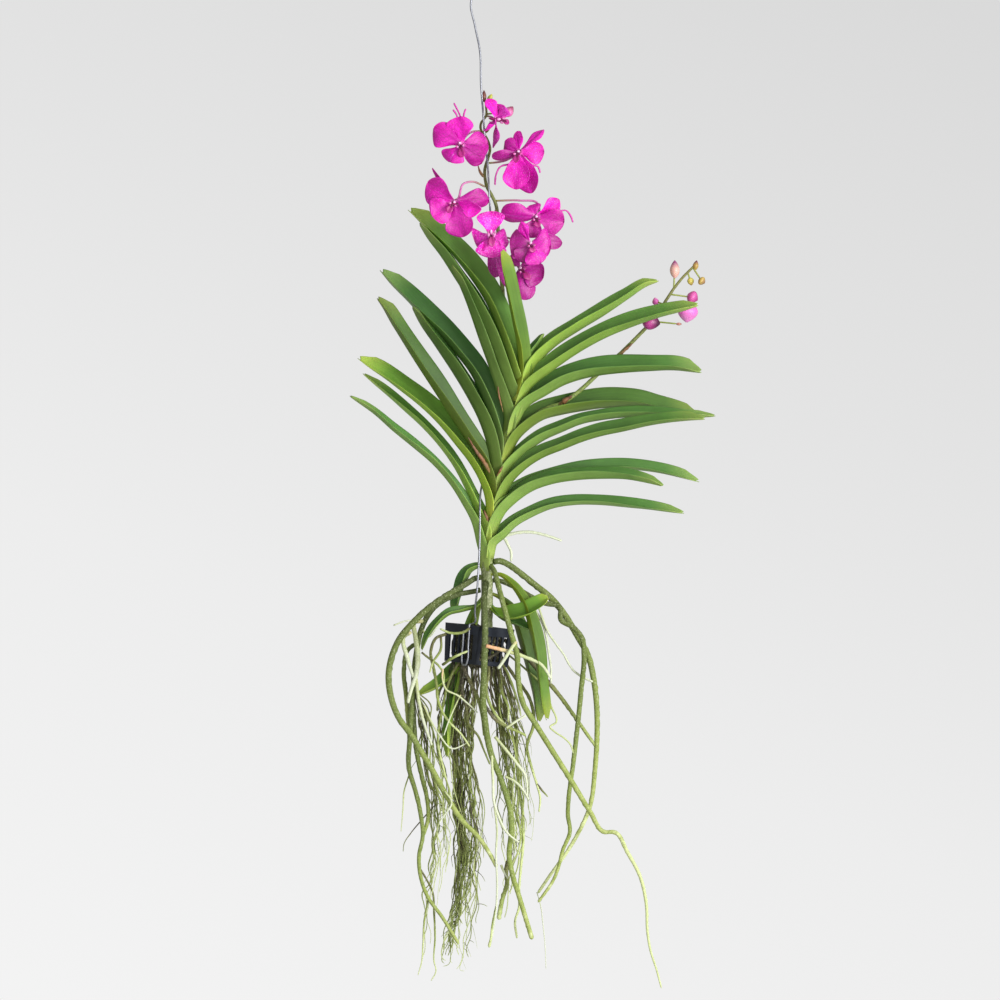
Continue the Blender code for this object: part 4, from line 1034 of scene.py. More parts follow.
@dataclass(frozen=True)
class Bloom:
    """One bloom, set out on the drawing as its solid is.

    Attributes:
        name: the node that it stands for.
        centre: where its petals meet.
        facing: the way its face looks.
        petals: each sepal and petal.
        lip: the tip of the lip.
        pedicel: points from the bloom to the stalk.
        tails: thin curled ends, as points from the centre.
        flecks: how many pale flecks its petals have, from 0 to 1.
        shade: the painted light and shade of all its petals, lighter above 0.5, darker below.
    """

    name: str
    centre: Spot
    facing: Spot
    petals: tuple[Petal, ...]
    lip: Spot
    pedicel: Points
    tails: tuple[Points, ...] = ()
    flecks: float = 0.3
    shade: float = 0.5

    OUTLINE = ([0.0, 0.2, 0.42, 0.66, 0.82, 1.0], [0.2, 0.42, 0.8, 1.0, 0.94, 0.8])
    BREADTH = 1.12
    CLAW, STAGGER, THICKNESS, RUFFLE = 0.0022, 0.001, 0.0008, 0.08
    # column, throat and side lobes: middle and tip as millimetres forward, down and aside
    # of the centre, width in millimetres, colour, colour of the tip
    HEART = (
        ((3.0, -0.8, 0.0), (7.2, -2.0, 0.0), 4.2, "#E58AC8", "#F3CBE6"),
        ((-1.0, 2.0, 0.0), (6.5, 6.5, 0.0), 5.2, "#96206A", "#4A0B2C"),
        ((4.5, 3.0, -3.6), (8.5, 1.8, -4.6), 3.0, "#E79AD2", "#C8408E"),
        ((4.5, 3.0, 3.6), (8.5, 1.8, 4.6), 3.0, "#E79AD2", "#C8408E"))
    TAIL, LIP_BASE, LIP_EDGE = "#C93AA4", "#7A1248", "#A81C78"

    def petal_surface(self, start: np.ndarray, tip: np.ndarray, width: float, bulge: float,
                      roll_deg: float, phase: float, ruffle: float) -> Surface:
        """Give the mid surface of a clawed, blunt petal, cupped and ruffled.

        Along the petal the half width follows an outline that is narrow at the claw and
        closes at the tip as part of an ellipse; it leans to one side and is scalloped a
        little. A point lies on the line to the tip, out by u times the half width, and
        forward by the bulge's sine, a cup that follows u squared, a wave that grows with
        the cube of u, a crease along the middle and a curl of the tip.

        Args:
            start: the claw's foot.
            tip: the petal's far end.
            width: its full width in metres.
            bulge: its arch in metres.
            roll_deg: turns it about its own length.
            phase: where the ruffle starts.
            ruffle: the ruffle's height in metres.

        Returns:
            The function of u and v.
        """
        run = tip - start
        along = unit(run)
        side = unit(np.cross(along, unit(np.array(self.facing, float))))
        front = np.cross(side, along)
        roll = math.radians(roll_deg)
        across = side * math.cos(roll) + front * math.sin(roll)
        normal = front * math.cos(roll) - side * math.sin(roll)

        def shape(u: np.ndarray, v: np.ndarray) -> np.ndarray:
            close = np.clip((v - 0.58) / 0.42, 0, 1)
            lean = 1 + 0.14 * np.sin(phase) * np.sign(u) * np.sin(math.pi * np.clip(v, 0, 1))
            scallop = 1 + 0.06 * np.sin(10 * v + 2 * phase + np.sign(u)) * np.clip(v, 0, 1)
            half = 0.5 * width * eased(v, *self.OUTLINE) * lean * scallop
            half = half * np.sqrt(np.clip(1 - close**2.6, 0.012, 1))
            arch = np.sin(math.pi * np.clip(v, 0, 1))
            cup = 0.34 * math.sin(2.3 * phase + 0.6)
            lift = bulge * arch + cup * half * (u * u - 0.3)
            wave = ruffle * np.abs(u) ** 3 * np.sin(7.5 * v + phase + 1.3 * np.sign(u))
            wave = wave + 0.35 * ruffle * np.sin(5 * u + 6 * v + 2 * phase) * np.clip(v, 0, 1)
            crease = -0.0008 * np.exp(-((u / 0.1) ** 2)) * arch
            curl = -0.10 * width * np.clip(v - 0.6, 0, 1) ** 2 * 6 * math.cos(phase)
            return (start + run * v[..., None] + across * (half * u)[..., None]
                    + normal * (lift + wave + crease + curl)[..., None])

        return shape

    def build(self, petal: bpy.types.Material, tissue: bpy.types.Material,
              stalk: bpy.types.Material, draw: np.random.Generator) -> None:
        """Make the bloom's pieces in the place of its node.

        Args:
            petal: the petals' finish.
            tissue: the finish of lip and column.
            stalk: the pedicel's finish.
            draw: the source of ruffles and tones.
        """
        heart = place([self.centre])[0]
        front = unit(np.array(self.facing, float))
        lofts = []
        for i, each in enumerate(self.petals):
            end = place([each.tip])[0]
            start = heart + unit(end - heart) * self.CLAW - front * (self.STAGGER * (i % 2))
            width = each.width * STEP * self.BREADTH
            shape = self.petal_surface(start, end, width, each.bulge * MM, each.roll_deg,
                                       float(draw.uniform(0, PHASES)), width * self.RUFFLE)
            length = float(np.linalg.norm(end - start))
            # painted light and shade of the bloom and of the petal, and a random tone
            tone = self.shade + each.shade + float(draw.uniform(-0.25, 0.25))
            lofts.append(blade(shape, 14, 40, self.THICKNESS, width / 2, length, tone, 1.9,
                               self.flecks))
        skin_piece(self.name + "_petals", lofts, petal, "bloom", self.name)
        lofts = self.middle(heart, front, draw)
        skin_piece(self.name + "_lip", lofts, tissue, "bloom", self.name)
        line = Path([self.centre, *self.pedicel])
        stem = tube(line, (1.6, 1.3, 1.2), 40, 12, 0.05, draw, rounded=False)
        skin_piece(self.name + "_pedicel", [stem], stalk, "bloom", self.name)

    def middle(self, heart: np.ndarray, front: np.ndarray,
               draw: np.random.Generator) -> list[Loft]:
        """Make the column, the throat, the two side lobes, the curled tails and the lip.

        Args:
            heart: the bloom's centre.
            front: the way it faces.
            draw: the source of tones.

        Returns:
            Their skins.
        """
        tip = place([self.lip])[0]
        down = unit(tip - heart)
        axes = np.array([front, down, unit(np.cross(down, front))]) * MM
        lofts = [bead(heart + base @ axes, heart + end @ axes, width * MM, tint, nose,
                      float(draw.random())) for base, end, width, tint, nose in self.HEART]
        shape = self.petal_surface(heart + (4.0, 3.0, 0.0) @ axes, tip, 0.0088, 0.0012, 0,
                                   1.0, 0.0004)
        flap = blade(shape, 8, 16, 0.0014, 0.0044, float(np.linalg.norm(tip - heart)), 0.5, 1.6)
        for tail in self.tails:
            curl = tube(Path([self.centre, *tail]), (1.6, 1.3, 1.0, 1.2), 30, 10, 0.18, draw)
            lofts.append(replace(curl, tint=rgb(self.TAIL)))
        base, edge = rgb(self.LIP_BASE), rgb(self.LIP_EDGE)
        blend = np.clip(flap.tone[..., :1] * 1.6, 0, 1)
        lofts.append(replace(flap, tint=base + (edge - base) * blend))
        return lofts


def petals(*rows: tuple) -> tuple[Petal, ...]:
    """Turn rows of tip, width, bulge, roll and shade into petals."""
    return tuple(Petal(*row) for row in rows)


# the seed of the blooms' ruffles and tones
BLOOM_SEED = 7
# a petal's fifth value and a bloom's last are painted light and shade: the higher, the lighter
BLOOMS = (
    Bloom("bloom_1", (461, 146, -34), (-0.25, -1, 0.1), petals(
        ((462, 118, -34), 24, 3, 0), ((434, 129, -30), 24, 3, 8),
        ((450, 164, -38), 24, 2, -10, -0.3), ((489, 145, -22), 24, 2, 10, -0.6),
        ((483, 163, -26), 22, 2, -10, -0.5)), (463, 159, -44),
        ((464, 140, -28), (473, 132, -8), (480.5, 131, 1.6)),
        (((462, 122, -32), (459, 114, -28), (454, 104, -24)),
         ((458, 120, -31), (456, 115, -30), (453, 111, -30)),
         ((464, 121, -31), (464, 116, -28), (466, 110, -26))), 0.2, 0.6),
    Bloom("bloom_2", (497, 120, -12), (1, -0.45, -0.1), petals(
        ((488, 99, -8), 12, 1, 40), ((503, 106, -16), 20, 2, -62),
        ((484, 131, -18), 19, 2, 50), ((492, 148, -8), 13, 2, 45, -0.4),
        ((500, 110, -2), 18, 2, 55)), (509, 124, -14),
        ((494, 119, -9), (491, 117, -2), (487.2, 116, 2.4)), (), 0.2, 0.9),
    Bloom("bloom_3", (519, 153, -26), (-0.3, -1, -0.15), petals(
        ((518, 132, -24), 13, 2, 25), ((544, 131, -20), 11, 1, 45),
        ((544, 153, -24), 21, 2, 0), ((492, 158, -22), 13, 3, 35, -0.6),
        ((514, 190, -32), 25, 3, 8), ((533, 194, -28), 25, 3, -8),
        ((505, 142, -24), 16, 2, 10, -0.4)), (516, 164, -38),
        ((515, 156, -20), (505, 161, -8), (495, 162.5, 1), (488.8, 163, 2.2)),
        (((512, 164, -26), (500, 168, -24), (496, 176, -22), (495, 186, -20)),
         ((532, 166, -27), (538, 168, -26), (540, 174, -25))), 0.4, 0.7),
    Bloom("bloom_4", (455, 203, -32), (-0.3, -1, -0.35), petals(
        ((427, 184, -28), 28, 3, 0), ((432, 169, -20), 7, 0, 30),
        ((482, 209, -40), 20, 4, -25, 0.2), ((489, 200, -16), 20, 2, 0, -0.6),
        ((432, 217, -34), 26, 2, 0, -0.3), ((464, 238, -30), 26, 2, 10, -0.6)), (448, 214, -42),
        ((458, 200, -26), (464, 184, -12), (474, 182, -4), (484.8, 186.6, 0.9)), (), 0.3, 0.6),
    Bloom("bloom_5", (491, 236, -30), (0.1, -0.75, 0.65), petals(
        ((490, 212, -26), 26, 5, 0, 0.3), ((476, 246, -28), 26, 3, 0),
        ((491, 259, -32), 28, 3, 0), ((508, 243, -20), 22, 3, 0),
        ((497, 278, -14), 17, 2, 0, -0.7), ((506, 287, -6), 9, 1, 0, -0.6)), (492, 248, -40),
        ((492, 234, -24), (493, 222, -12), (495.7, 210, 1.8)), (), 1.0, 0.6),
    Bloom("bloom_6", (536, 217, -14), (0.1, -1, -0.35), petals(
        ((501, 213, -12), 24, 3, 20, -0.2), ((560, 201, -8), 19, 2, -15, 0.3),
        ((564, 224, -12), 24, 3, 10, -0.4), ((531, 205, -8), 15, 2, 0, -0.3),
        ((530, 238, -18), 18, 2, 0, -0.4)), (538, 228, -24),
        ((539, 212, -9), (537, 203, -3), (520, 200.5, 1), (496.2, 200.6, 4)),
        (((558, 212, -11), (566, 211, -10), (571, 217, -10), (573, 223, -10)),), 0.4, 0.5),
    Bloom("bloom_7", (530, 245, -40), (0.2, -1, 0.0), petals(
        ((510, 243, -34), 26, 3, 12, -0.3), ((521, 223, -34), 10, 1, 30, 0.2),
        ((551, 246, -38), 26, 3, 0, -0.15), ((540, 265, -42), 22, 3, 0, 0.1),
        ((562, 243, -28), 14, 2, 0, -0.7), ((520, 263, -36), 18, 2, 0, -0.3)), (533, 254, -48),
        ((528, 244, -33), (515, 240, -14), (500.8, 236, 6.9)), (), 0.5, 0.3),
    Bloom("bloom_8", (520, 268, -14), (0.3, -1, -0.3), petals(
        ((543, 279, -14), 24, 3, 0), ((528, 300, -16), 22, 3, 0),
        ((512, 255, -10), 12, 1, 0, -0.4), ((535, 262, -8), 16, 2, 0, -0.3),
        ((515, 291, -8), 12, 2, 0, -0.4)), (530, 280, -22),
        ((518, 266, -8), (510, 266, 2), (503.4, 267, 10.6)), (), 0.5, 0.0),
)


@dataclass
class AerialRoots:
    """The thick roots, and the forked one with its pale branches."""

    seed: int = 23
    slim: float = 0.88
    wobble: float = 0.10
    pale_mark: float = 0.32
    # name, points of the drawing, radii in millimetres from the stem to the tip, mark; the mark of
    # root_front and root_left_outer is painted shade, and that of root_right_outer painted light
    thick: tuple[tuple[str, Points, Radii, float], ...] = (
        ("root_right_outer", ((494.0, 562, 0), (499, 561, 1), (507, 564, 4), (520, 573, 8),
            (535, 585, 12), (550, 597, 14), (565, 615, 15), (577, 635, 15), (588, 655, 15),
            (594, 680, 15), (597, 710, 15), (597, 740, 15), (595, 770, 15), (590, 807, 15),
            (576, 838, 15), (562, 860, 15), (551, 875, 15), (538, 894, 15)),
            (4.2, 4.4, 3.8, 3.0, 2.0), 0.1),
        ("root_right_inner", ((493.2, 580, 3), (500, 581, 6), (515, 587, 6), (530, 596, 4),
            (545, 603, 2), (560, 607, 0), (561, 620, -2), (573, 627, -2), (582, 638, -2),
            (584, 655, -2), (581, 690, -2), (577, 730, 0), (573, 765, 2), (569, 795, 2),
            (568, 815, 2), (570, 832, 2), (563, 850, 2), (558, 869, 2), (552.5, 882, 2),
            (545, 893, 2), (538, 902.5, 2)), (3.4, 3.6, 3.4, 2.9, 2.0), 0.0),
        ("root_front", ((486, 583, -8.0), (486, 584, -13), (485, 590, -20), (484, 603, -32),
            (485, 620, -43), (485, 640, -48), (484, 670, -48), (483, 700, -44), (485, 719, -40),
            (489, 744, -36), (494, 761, -34), (500, 775, -32), (505, 790, -30), (510, 808, -28),
            (511, 834, -28), (509, 853, -28), (512, 872, -28), (518, 892, -28), (532, 938, -28)),
            (4.2, 4.4, 4.2, 3.6, 3.2), -0.1),
        ("root_long", ((491, 566, -7.4), (494, 570, -18), (498, 584, -34), (504, 606, -44),
            (511, 632, -44), (517, 655, -40), (518, 678, -34), (523, 703, -28), (535, 723, -24),
            (552, 750, -24), (571, 780, -24), (590, 811, -24), (604, 831, -24), (614, 831, -24),
            (627, 851, -24), (640, 876, -24), (646, 904, -24), (647, 930, -24), (650, 949, -24),
            (656, 968, -24), (661, 987, -24)), (3.6, 3.8, 3.6, 2.5, 1.1), 0.16),
        ("root_left_outer", ((481.0, 577, -3.4), (476, 578, -6), (466, 584, -11), (452, 592, -18),
            (438, 601, -24), (424, 612, -28), (411, 625, -30), (401, 637, -30), (393, 654, -30),
            (389, 675, -30), (391, 695, -30), (399, 717, -30), (412, 735, -30), (421, 750, -30),
            (433, 770, -30), (448, 797, -30), (463, 820, -30), (478, 835, -30), (489, 851, -30),
            (497, 866, -30)), (3.8, 4.4, 4.2, 3.8, 2.6), -0.14),
    )
    forked: tuple[tuple[Points, Radii], ...] = (
        (((480.2, 590, 2), (476, 591, 1), (460, 594, -4), (444, 600, -8), (430, 612, -10),
            (421, 630, -10), (416, 655, -10), (413, 690, -10), (410, 738, -8), (409, 767, -8),
            (416, 792, -8), (421, 815, -8), (423, 835, -8), (419, 856, -8), (421, 878, -8),
            (428, 897, -8), (441, 915, -8), (459, 944, -8)), (3.0, 3.4, 3.0, 2.4, 2.0)),
        (((413, 690, -10), (414, 720, -4), (416, 748, 0), (422, 777, 2), (427, 798, 2),
            (428, 818, 1), (423, 836, -8)), (2.6, 2.8, 2.2)),
        (((418, 642, -10), (408, 650, -4), (404, 670, 0), (406, 695, 2), (408, 720, 2),
            (410, 740, -7)), (2.4, 2.8, 2.6)),
    )
    pale: tuple[tuple[Points, Radii], ...] = (
        (((425, 621, -10), (415, 622, -15), (416, 638, -17), (418, 655, -17), (416, 675, -17),
            (411, 690, -16), (408, 703, -16)), (2.4, 3.1, 2.0)),
        (((411, 632, -28), (404, 637, -20), (408, 659, -17), (414, 678, -16)), (2.0, 2.7, 1.8)),
        (((416, 676, -17), (419, 700, -16), (424, 722, -14), (432, 745, -14)), (1.8, 2.1, 1.4)),
        (((422, 629, -10), (428, 636, -18), (440, 622, -24)), (1.5, 1.5, 1.0)),
    )

    def build(self, green: bpy.types.Material, white: bpy.types.Material) -> None:
        """Make the roots in the place of their nodes.

        Args:
            green: the finish of the thick roots.
            white: the finish of the bleached ones.
        """
        draw = np.random.default_rng(self.seed)
        for name, points, radii, mark in self.thick:
            slim = [self.slim * radius for radius in radii]
            skin = tube(Path(points), slim, 150, 18, self.wobble, draw, mark)
            skin_piece(name + "_velamen", [skin], green, "root", name)
        for name, roots, rows, ring, mark, finish in (
                ("velamen", self.forked, 90, 16, 0.0, green),
                ("pale", self.pale, 50, 14, self.pale_mark, white)):
            lofts = [tube(Path(points), radii, rows, ring, self.wobble, draw, mark)
                     for points, radii in roots]
            skin_piece("root_left_forked_" + name, lofts, finish, "root", "root_left_forked")


@dataclass(frozen=True)
class Bundle:
    """A bundle of fine roots that hang together.

    Attributes:
        name: its piece's name.
        count: how many strands.
        line: columns and rows that its middle passes.
        starts: the rows between which strands start.
        ends: the rows between which they end.
        spread: its half width in steps.
        depth: its middle and half depth in millimetres.
        radii: the least and greatest radius in millimetres.
        paleness: the least and greatest mark of its strands.
        rootlets: how many side rootlets a strand has at most.
        source: the column, row and depth where every strand leaves the basket or a root,
            and how far to either side it may do so, in steps.
        clumps: how many clumps the strands gather in, over half the width.
    """

    name: str
    count: int
    line: tuple[tuple[float, float], ...]
    starts: tuple[float, float]
    ends: tuple[float, float]
    spread: float
    depth: tuple[float, float]
    radii: tuple[float, float]
    paleness: tuple[float, float]
    rootlets: int = 4
    source: tuple[float, float, float, float] = (480.0, 652.0, 0.0, 21.0)
    clumps: float = 2.5

    LEAN = 20.0

    def strand(self, draw: np.random.Generator) -> list[Loft]:
        """Grow one strand and its rootlets.

        A strand leaves the source, keeps its own place in the bundle, drawn to the nearest
        clump, and wanders about it: each knot, 11 to 17 rows under the last, adds a random
        step and gives back a third of its drift. Strands further left hang further back,
        by LEAN over half the width. Rootlets leave it anywhere, go out and fall.

        Args:
            draw: the source of every random number.

        Returns:
            The skins.
        """
        columns, rows = zip(*self.line)
        own = draw.uniform(-1, 1)
        behind = self.depth[0] + draw.uniform(-1, 1) * self.depth[1] - self.LEAN * own
        own = self.spread * (0.35 * own + 0.65 * round(own * self.clumps) / self.clumps)
        row, end = draw.uniform(*self.starts), draw.uniform(*self.ends)
        drift = np.zeros(2)
        column, top, deep, reach = self.source
        aim = float(np.interp(row, rows, columns)) + own - column
        share = np.clip(aim / max(self.spread, 1.0), -1, 1)
        points = [(column + reach * share, top, deep + 0.35 * np.clip(behind - deep, -25, 25))]
        while row < end:
            drift = drift * 0.67 + draw.normal(0, 1, 2) * (2.4, 3.0)
            points.append((np.interp(row, rows, columns) + own + drift[0], row, behind + drift[1]))
            row += draw.uniform(11, 17)
        points.append((points[-1][0] + draw.uniform(-5, 4), end, points[-1][2]))
        line = Path(points)
        radius = draw.uniform(*self.radii)
        mark = draw.uniform(*self.paleness)
        count = max(12, int(line.length / 0.003))
        taper = [radius, radius, 0.8 * radius, 0.5 * radius]
        lofts = [tube(line, taper, count, 8, 0.16, draw, mark)]
        for _ in range(int(draw.integers(0, self.rootlets + 1))):
            s = draw.uniform(0.08, 0.95)
            foot = line.at(np.array([s]))[0]
            out = draw.normal(0, 1, 3) * (1.0, 0.8, 0.5)
            out = out / np.linalg.norm(out) * draw.uniform(0.004, 0.012)
            fall = np.array([0.0, 0.0, -draw.uniform(0.004, 0.022)])
            turn = draw.normal(0, 0.002, 3)
            knots = [foot, foot + out * 0.6 + fall * 0.2, foot + out + fall * 0.6 + turn,
                     foot + out * 1.1 + fall + turn * 2]
            thin = radius * draw.uniform(0.3, 0.5)
            lofts.append(tube(Path(knots, metres=True), [thin, thin * 0.6], 10, 6, 0.1, draw,
                              mark - 0.1))
        return lofts


@dataclass
class FineRoots:
    """The bunch of fine roots: bundles, the mat in the basket, and roots that stand out."""

    seed: int = 41
    bundles: tuple[Bundle, ...] = (
        Bundle("fine_roots_middle", 22,
               ((464, 668), (454, 720), (456, 770), (464, 810), (467, 850)),
               (672, 690), (760, 880), 19, (10, 18), (0.4, 0.85), (-0.2, 0.15), 6,
               (474, 656, 0, 20)),
        Bundle("fine_roots_low", 25, ((470, 668), (462, 730), (464, 780), (469, 860), (466, 900),
                                      (457, 935), (455, 965)),
               (674, 690), (870, 972), 11, (12, 11), (0.5, 1.25), (-0.15, 0.25), 9,
               (472, 658, 4, 14), 1.5),
        Bundle("fine_roots_left", 14, ((426, 700), (430, 750), (440, 800), (440, 860), (432, 920)),
               (705, 720), (840, 965), 9, (0, 10), (0.5, 1.0), (-0.05, 0.35), 5,
               (413, 690, -10, 1.5), 1.5),
        Bundle("fine_roots_right", 20, ((496, 676), (511, 740), (516, 800), (514, 860)),
               (676, 695), (740, 850), 14, (8, 14), (0.4, 0.85), (-0.2, 0.2), 6,
               (488, 656, 0, 12)),
        Bundle("fine_roots_right_low", 12,
               ((494, 680), (505, 740), (511, 800), (512, 850), (508, 890)),
               (676, 690), (840, 918), 8, (4, 12), (0.6, 1.5), (0.0, 0.35), 6,
               (490, 657, -4, 8), 1.5),
        # side roots of the low bundle, which leave it halfway down
        Bundle("fine_roots_tuft", 14, ((464, 790), (468, 860), (464, 900), (457, 935),
                                       (455, 965)),
               (800, 840), (925, 972), 10, (12, 10), (0.5, 1.2), (-0.25, 0.2), 9,
               (464, 780, 12, 6), 1.5),
    )
    # points, first and last radius in millimetres, mark
    olive: tuple[tuple[Points, float, float, float], ...] = (
        (((504, 640, 14), (524, 655, 14), (543, 676, 12), (561, 698, 14), (579, 723, 15),
            (597, 748, 15)), 2.6, 2.0, -0.1),
        (((484, 703, -43), (496, 719, -34), (507, 726, -30), (516, 730, -26), (526, 735, -20)),
            2.0, 1.5, 0.0),
        (((500, 655, 4), (514, 676, 8), (530, 700, 6), (534, 722, 4), (527, 748, 2), (531, 765, 0),
            (537, 785, -2), (540, 797, -4), (539, 812, -4)), 2.0, 1.0, 0.1),
        (((537, 784, -2), (541, 789, -2), (548, 797, -2)), 1.2, 0.6, 0.0),
        (((502, 650, 10), (524, 668, 12), (545, 690, 11), (551, 706, 10), (556, 723, 8),
            (550, 727, 6), (555, 732, 4), (564, 738, 2), (570, 744, 0), (574, 755, 0)),
            1.2, 0.9, 0.25),
        (((492, 656, 0), (506, 686, 0), (515, 722, -4), (517, 760, -6), (518, 780, -8),
            (523, 816, -8), (523, 846, -8), (521, 866, -8), (519, 890, -8), (519, 907, -8),
            (515, 921, -8), (517, 938, -8)), 1.9, 1.3, 0.15),
        (((511, 852, -18), (506, 872, -12), (507, 880, -14), (502.5, 898, -14), (498.6, 919, -14)),
            2.6, 2.9, 0.05),
        (((494, 655, -2), (499, 672, -8), (502, 692, -14), (508, 706, -16), (508, 722, -16)),
            1.8, 1.2, 0.0),
        (((497, 655, -6), (507, 672, -14), (515, 693, -20), (519, 706, -22), (521, 716, -22)),
            1.6, 1.0, 0.05),
        (((486, 655, -8), (489, 672, -14), (486, 690, -18), (490, 704, -18), (498, 717, -18),
            (507, 726, -18)), 2.0, 1.6, 0.0),
        (((466, 652, -8), (463, 664, -22), (470, 681, -30), (478, 697, -34), (482, 714, -34),
            (484, 735, -34)), 2.2, 1.4, -0.1),
        (((470, 655, -4), (464, 672, -6), (462, 690, -10), (466, 706, -14), (470, 726, -16),
            (478, 735, -18), (483, 747, -20), (490, 764, -20)), 1.7, 1.0, -0.1),
        (((446, 634, -14), (436, 638, -18), (431, 650, -20), (434, 669, -24), (437, 686, -24),
            (438, 698, -24), (443, 712, -24), (450, 722, -24), (460, 732, -24), (470, 746, -24)),
            1.8, 1.0, 0.25),
        (((441, 636, -36), (441, 649, -42), (433, 662, -38), (430, 672, -34)), 1.5, 1.0, 0.05),
        (((422, 652, -30), (430, 658, -34), (438, 664, -38), (444, 674, -34), (444, 684, -30)),
            1.3, 0.9, 0.0),
        (((443, 664, -30), (453, 657, -46), (461, 653, -50), (468, 650, -52)), 1.7, 1.2, 0.1),
        (((470, 628, -34), (462, 632, -46), (450, 632, -48), (440, 628, -44)), 1.6, 1.1, 0.0),
        (((462, 658, -2), (452, 674, -8), (447, 688, -10), (442, 710, -12), (438, 740, -12),
            (444, 770, -12), (452, 800, -12)), 1.6, 1.0, 0.1),
        (((428, 900, -6), (424, 925, -6), (423, 945, -6), (422, 960, -6), (418, 975, -6)),
            1.1, 0.5, 0.35),
        (((420, 868, -8), (427, 880, -3), (432, 890, 0), (434, 913, 0), (435, 940, 0),
            (434, 961, 0), (436, 971, 0), (431, 981, 0)), 1.2, 0.6, 0.25),
        (((438, 776, 2), (436, 800, 0), (438, 826, 0), (433, 846, 0), (436, 864, 0),
            (432, 880, 0)), 1.1, 0.8, 0.0),
        (((436, 804, 4), (421, 821, 4), (411, 833, 4), (404, 844, 4), (403, 852, 4)),
            0.7, 0.4, -0.4),
        (((409, 775, 0), (404, 792, 0), (403, 808, 0), (401, 832, 0)), 0.8, 0.4, 0.6),
        (((496, 905, -30), (492, 926, -30), (491, 936, -30), (489, 946, -30)), 1.2, 1.8, 0.2),
        (((470, 650, 14), (462, 662, 26), (450, 676, 34), (440, 690, 30), (437, 712, 24)),
            1.8, 1.4, 0.0),
    )
    pale: tuple[tuple[Points, float, float, float], ...] = (
        (((486, 645, -52), (502, 649, -46), (513, 652, -40), (527, 657, -34), (541, 664, -30),
            (551, 678, -26)), 2.2, 1.5, 0.0),
        (((516, 641, -44), (507, 654, -52), (498, 668, -50)), 2.0, 1.8, 0.3),
        (((538, 605, 4), (548, 632, 8), (564, 655, 8), (574, 671, 8), (584, 678, 6),
            (593, 682, 4)), 1.3, 1.3, 0.5),
        (((530, 603, 6), (542, 622, 10), (549, 655, 10), (551, 668, 10), (551, 684, 10)),
            1.5, 1.2, 0.8),
        (((495, 736, -30), (507, 750, -34), (518, 764, -34), (525, 774, -34), (527, 784, -34),
            (527, 797, -34)), 1.8, 1.0, 0.4),
        (((505, 775, -36), (516, 781, -38), (524, 790, -38), (529, 799, -38)), 1.4, 0.9, 0.5),
        (((506, 727, -34), (515, 721, -36), (526, 714, -36)), 1.5, 1.1, 0.5),
        (((492, 752, -36), (492, 760, -39), (493, 778, -42), (494, 801, -42), (499, 816, -40),
            (507, 831, -38), (519, 841, -36)), 1.6, 1.1, 0.6),
        (((494, 801, -42), (497, 830, -38), (496, 854, -34), (497, 877, -32), (496, 907, -30),
            (494, 922, -30), (492, 936, -30)), 1.2, 1.1, 0.55),
        (((501, 864, -20), (504, 871, -20), (508, 878, -20)), 1.4, 0.9, 0.4),
        (((490, 545, 2), (503, 537, 8), (516, 533, 8), (530, 532, 8), (548, 536, 8),
            (562, 541, 8)), 1.9, 1.5, 0.8),
        (((490, 545, 2), (503, 537, 8), (508, 545, 8), (511, 552, 8), (511, 562, 8)),
            1.8, 1.4, 0.9),
        (((445, 790, -34), (452, 801, -36), (446, 812, -36), (439, 822, -36)), 1.0, 0.8, 0.6),
        (((537, 893, 14), (540, 903, 10), (543, 925, -6), (545, 945, -6), (546, 969, -6)),
            0.6, 0.4, 0.8),
        (((443, 668, -42), (443, 680, -40), (447, 689, -38), (457, 694, -36), (466, 701, -34),
            (478, 712, -34)), 1.1, 0.9, 0.15),
        (((461, 694, -30), (455, 706, -30), (449, 720, -30), (444, 735, -30)), 0.9, 0.7, 0.3),
        (((424, 705, -18), (432, 722, -20), (440, 735, -20), (452, 748, -20), (468, 742, -20)),
            1.1, 0.8, 0.4),
        (((394, 625, -30), (404, 621, -30), (415, 619, -30), (424, 614, -30)), 0.9, 0.7, 0.7),
    )

    NODE = "fine_root_bunch"
    LUMPS, CURLS, KNOTS = 5, 96, 7

    def build(self, brown: bpy.types.Material, white: bpy.types.Material) -> None:
        """Make the bunch in the place of its node.

        Args:
            brown: the finish of the fine and olive roots.
            white: the finish of the bleached ones.
        """
        draw = np.random.default_rng(self.seed)
        for bundle in self.bundles:
            lofts = [loft for _ in range(bundle.count) for loft in bundle.strand(draw)]
            skin_piece(bundle.name, lofts, brown, "fine_root", self.NODE)
        for name, roots, finish in (("loose_roots_olive", self.olive, brown),
                                    ("loose_roots_pale", self.pale, white)):
            lofts = []
            for points, first, last, mark in roots:
                line = Path(points)
                count = max(16, int(line.length / 0.0022))
                lofts.append(tube(line, [first, first, last], count, 12, 0.14, draw, mark))
            skin_piece(name, lofts, finish, "fine_root", self.NODE)
        skin_piece("root_mat", self.mat(draw), brown, "fine_root", self.NODE)

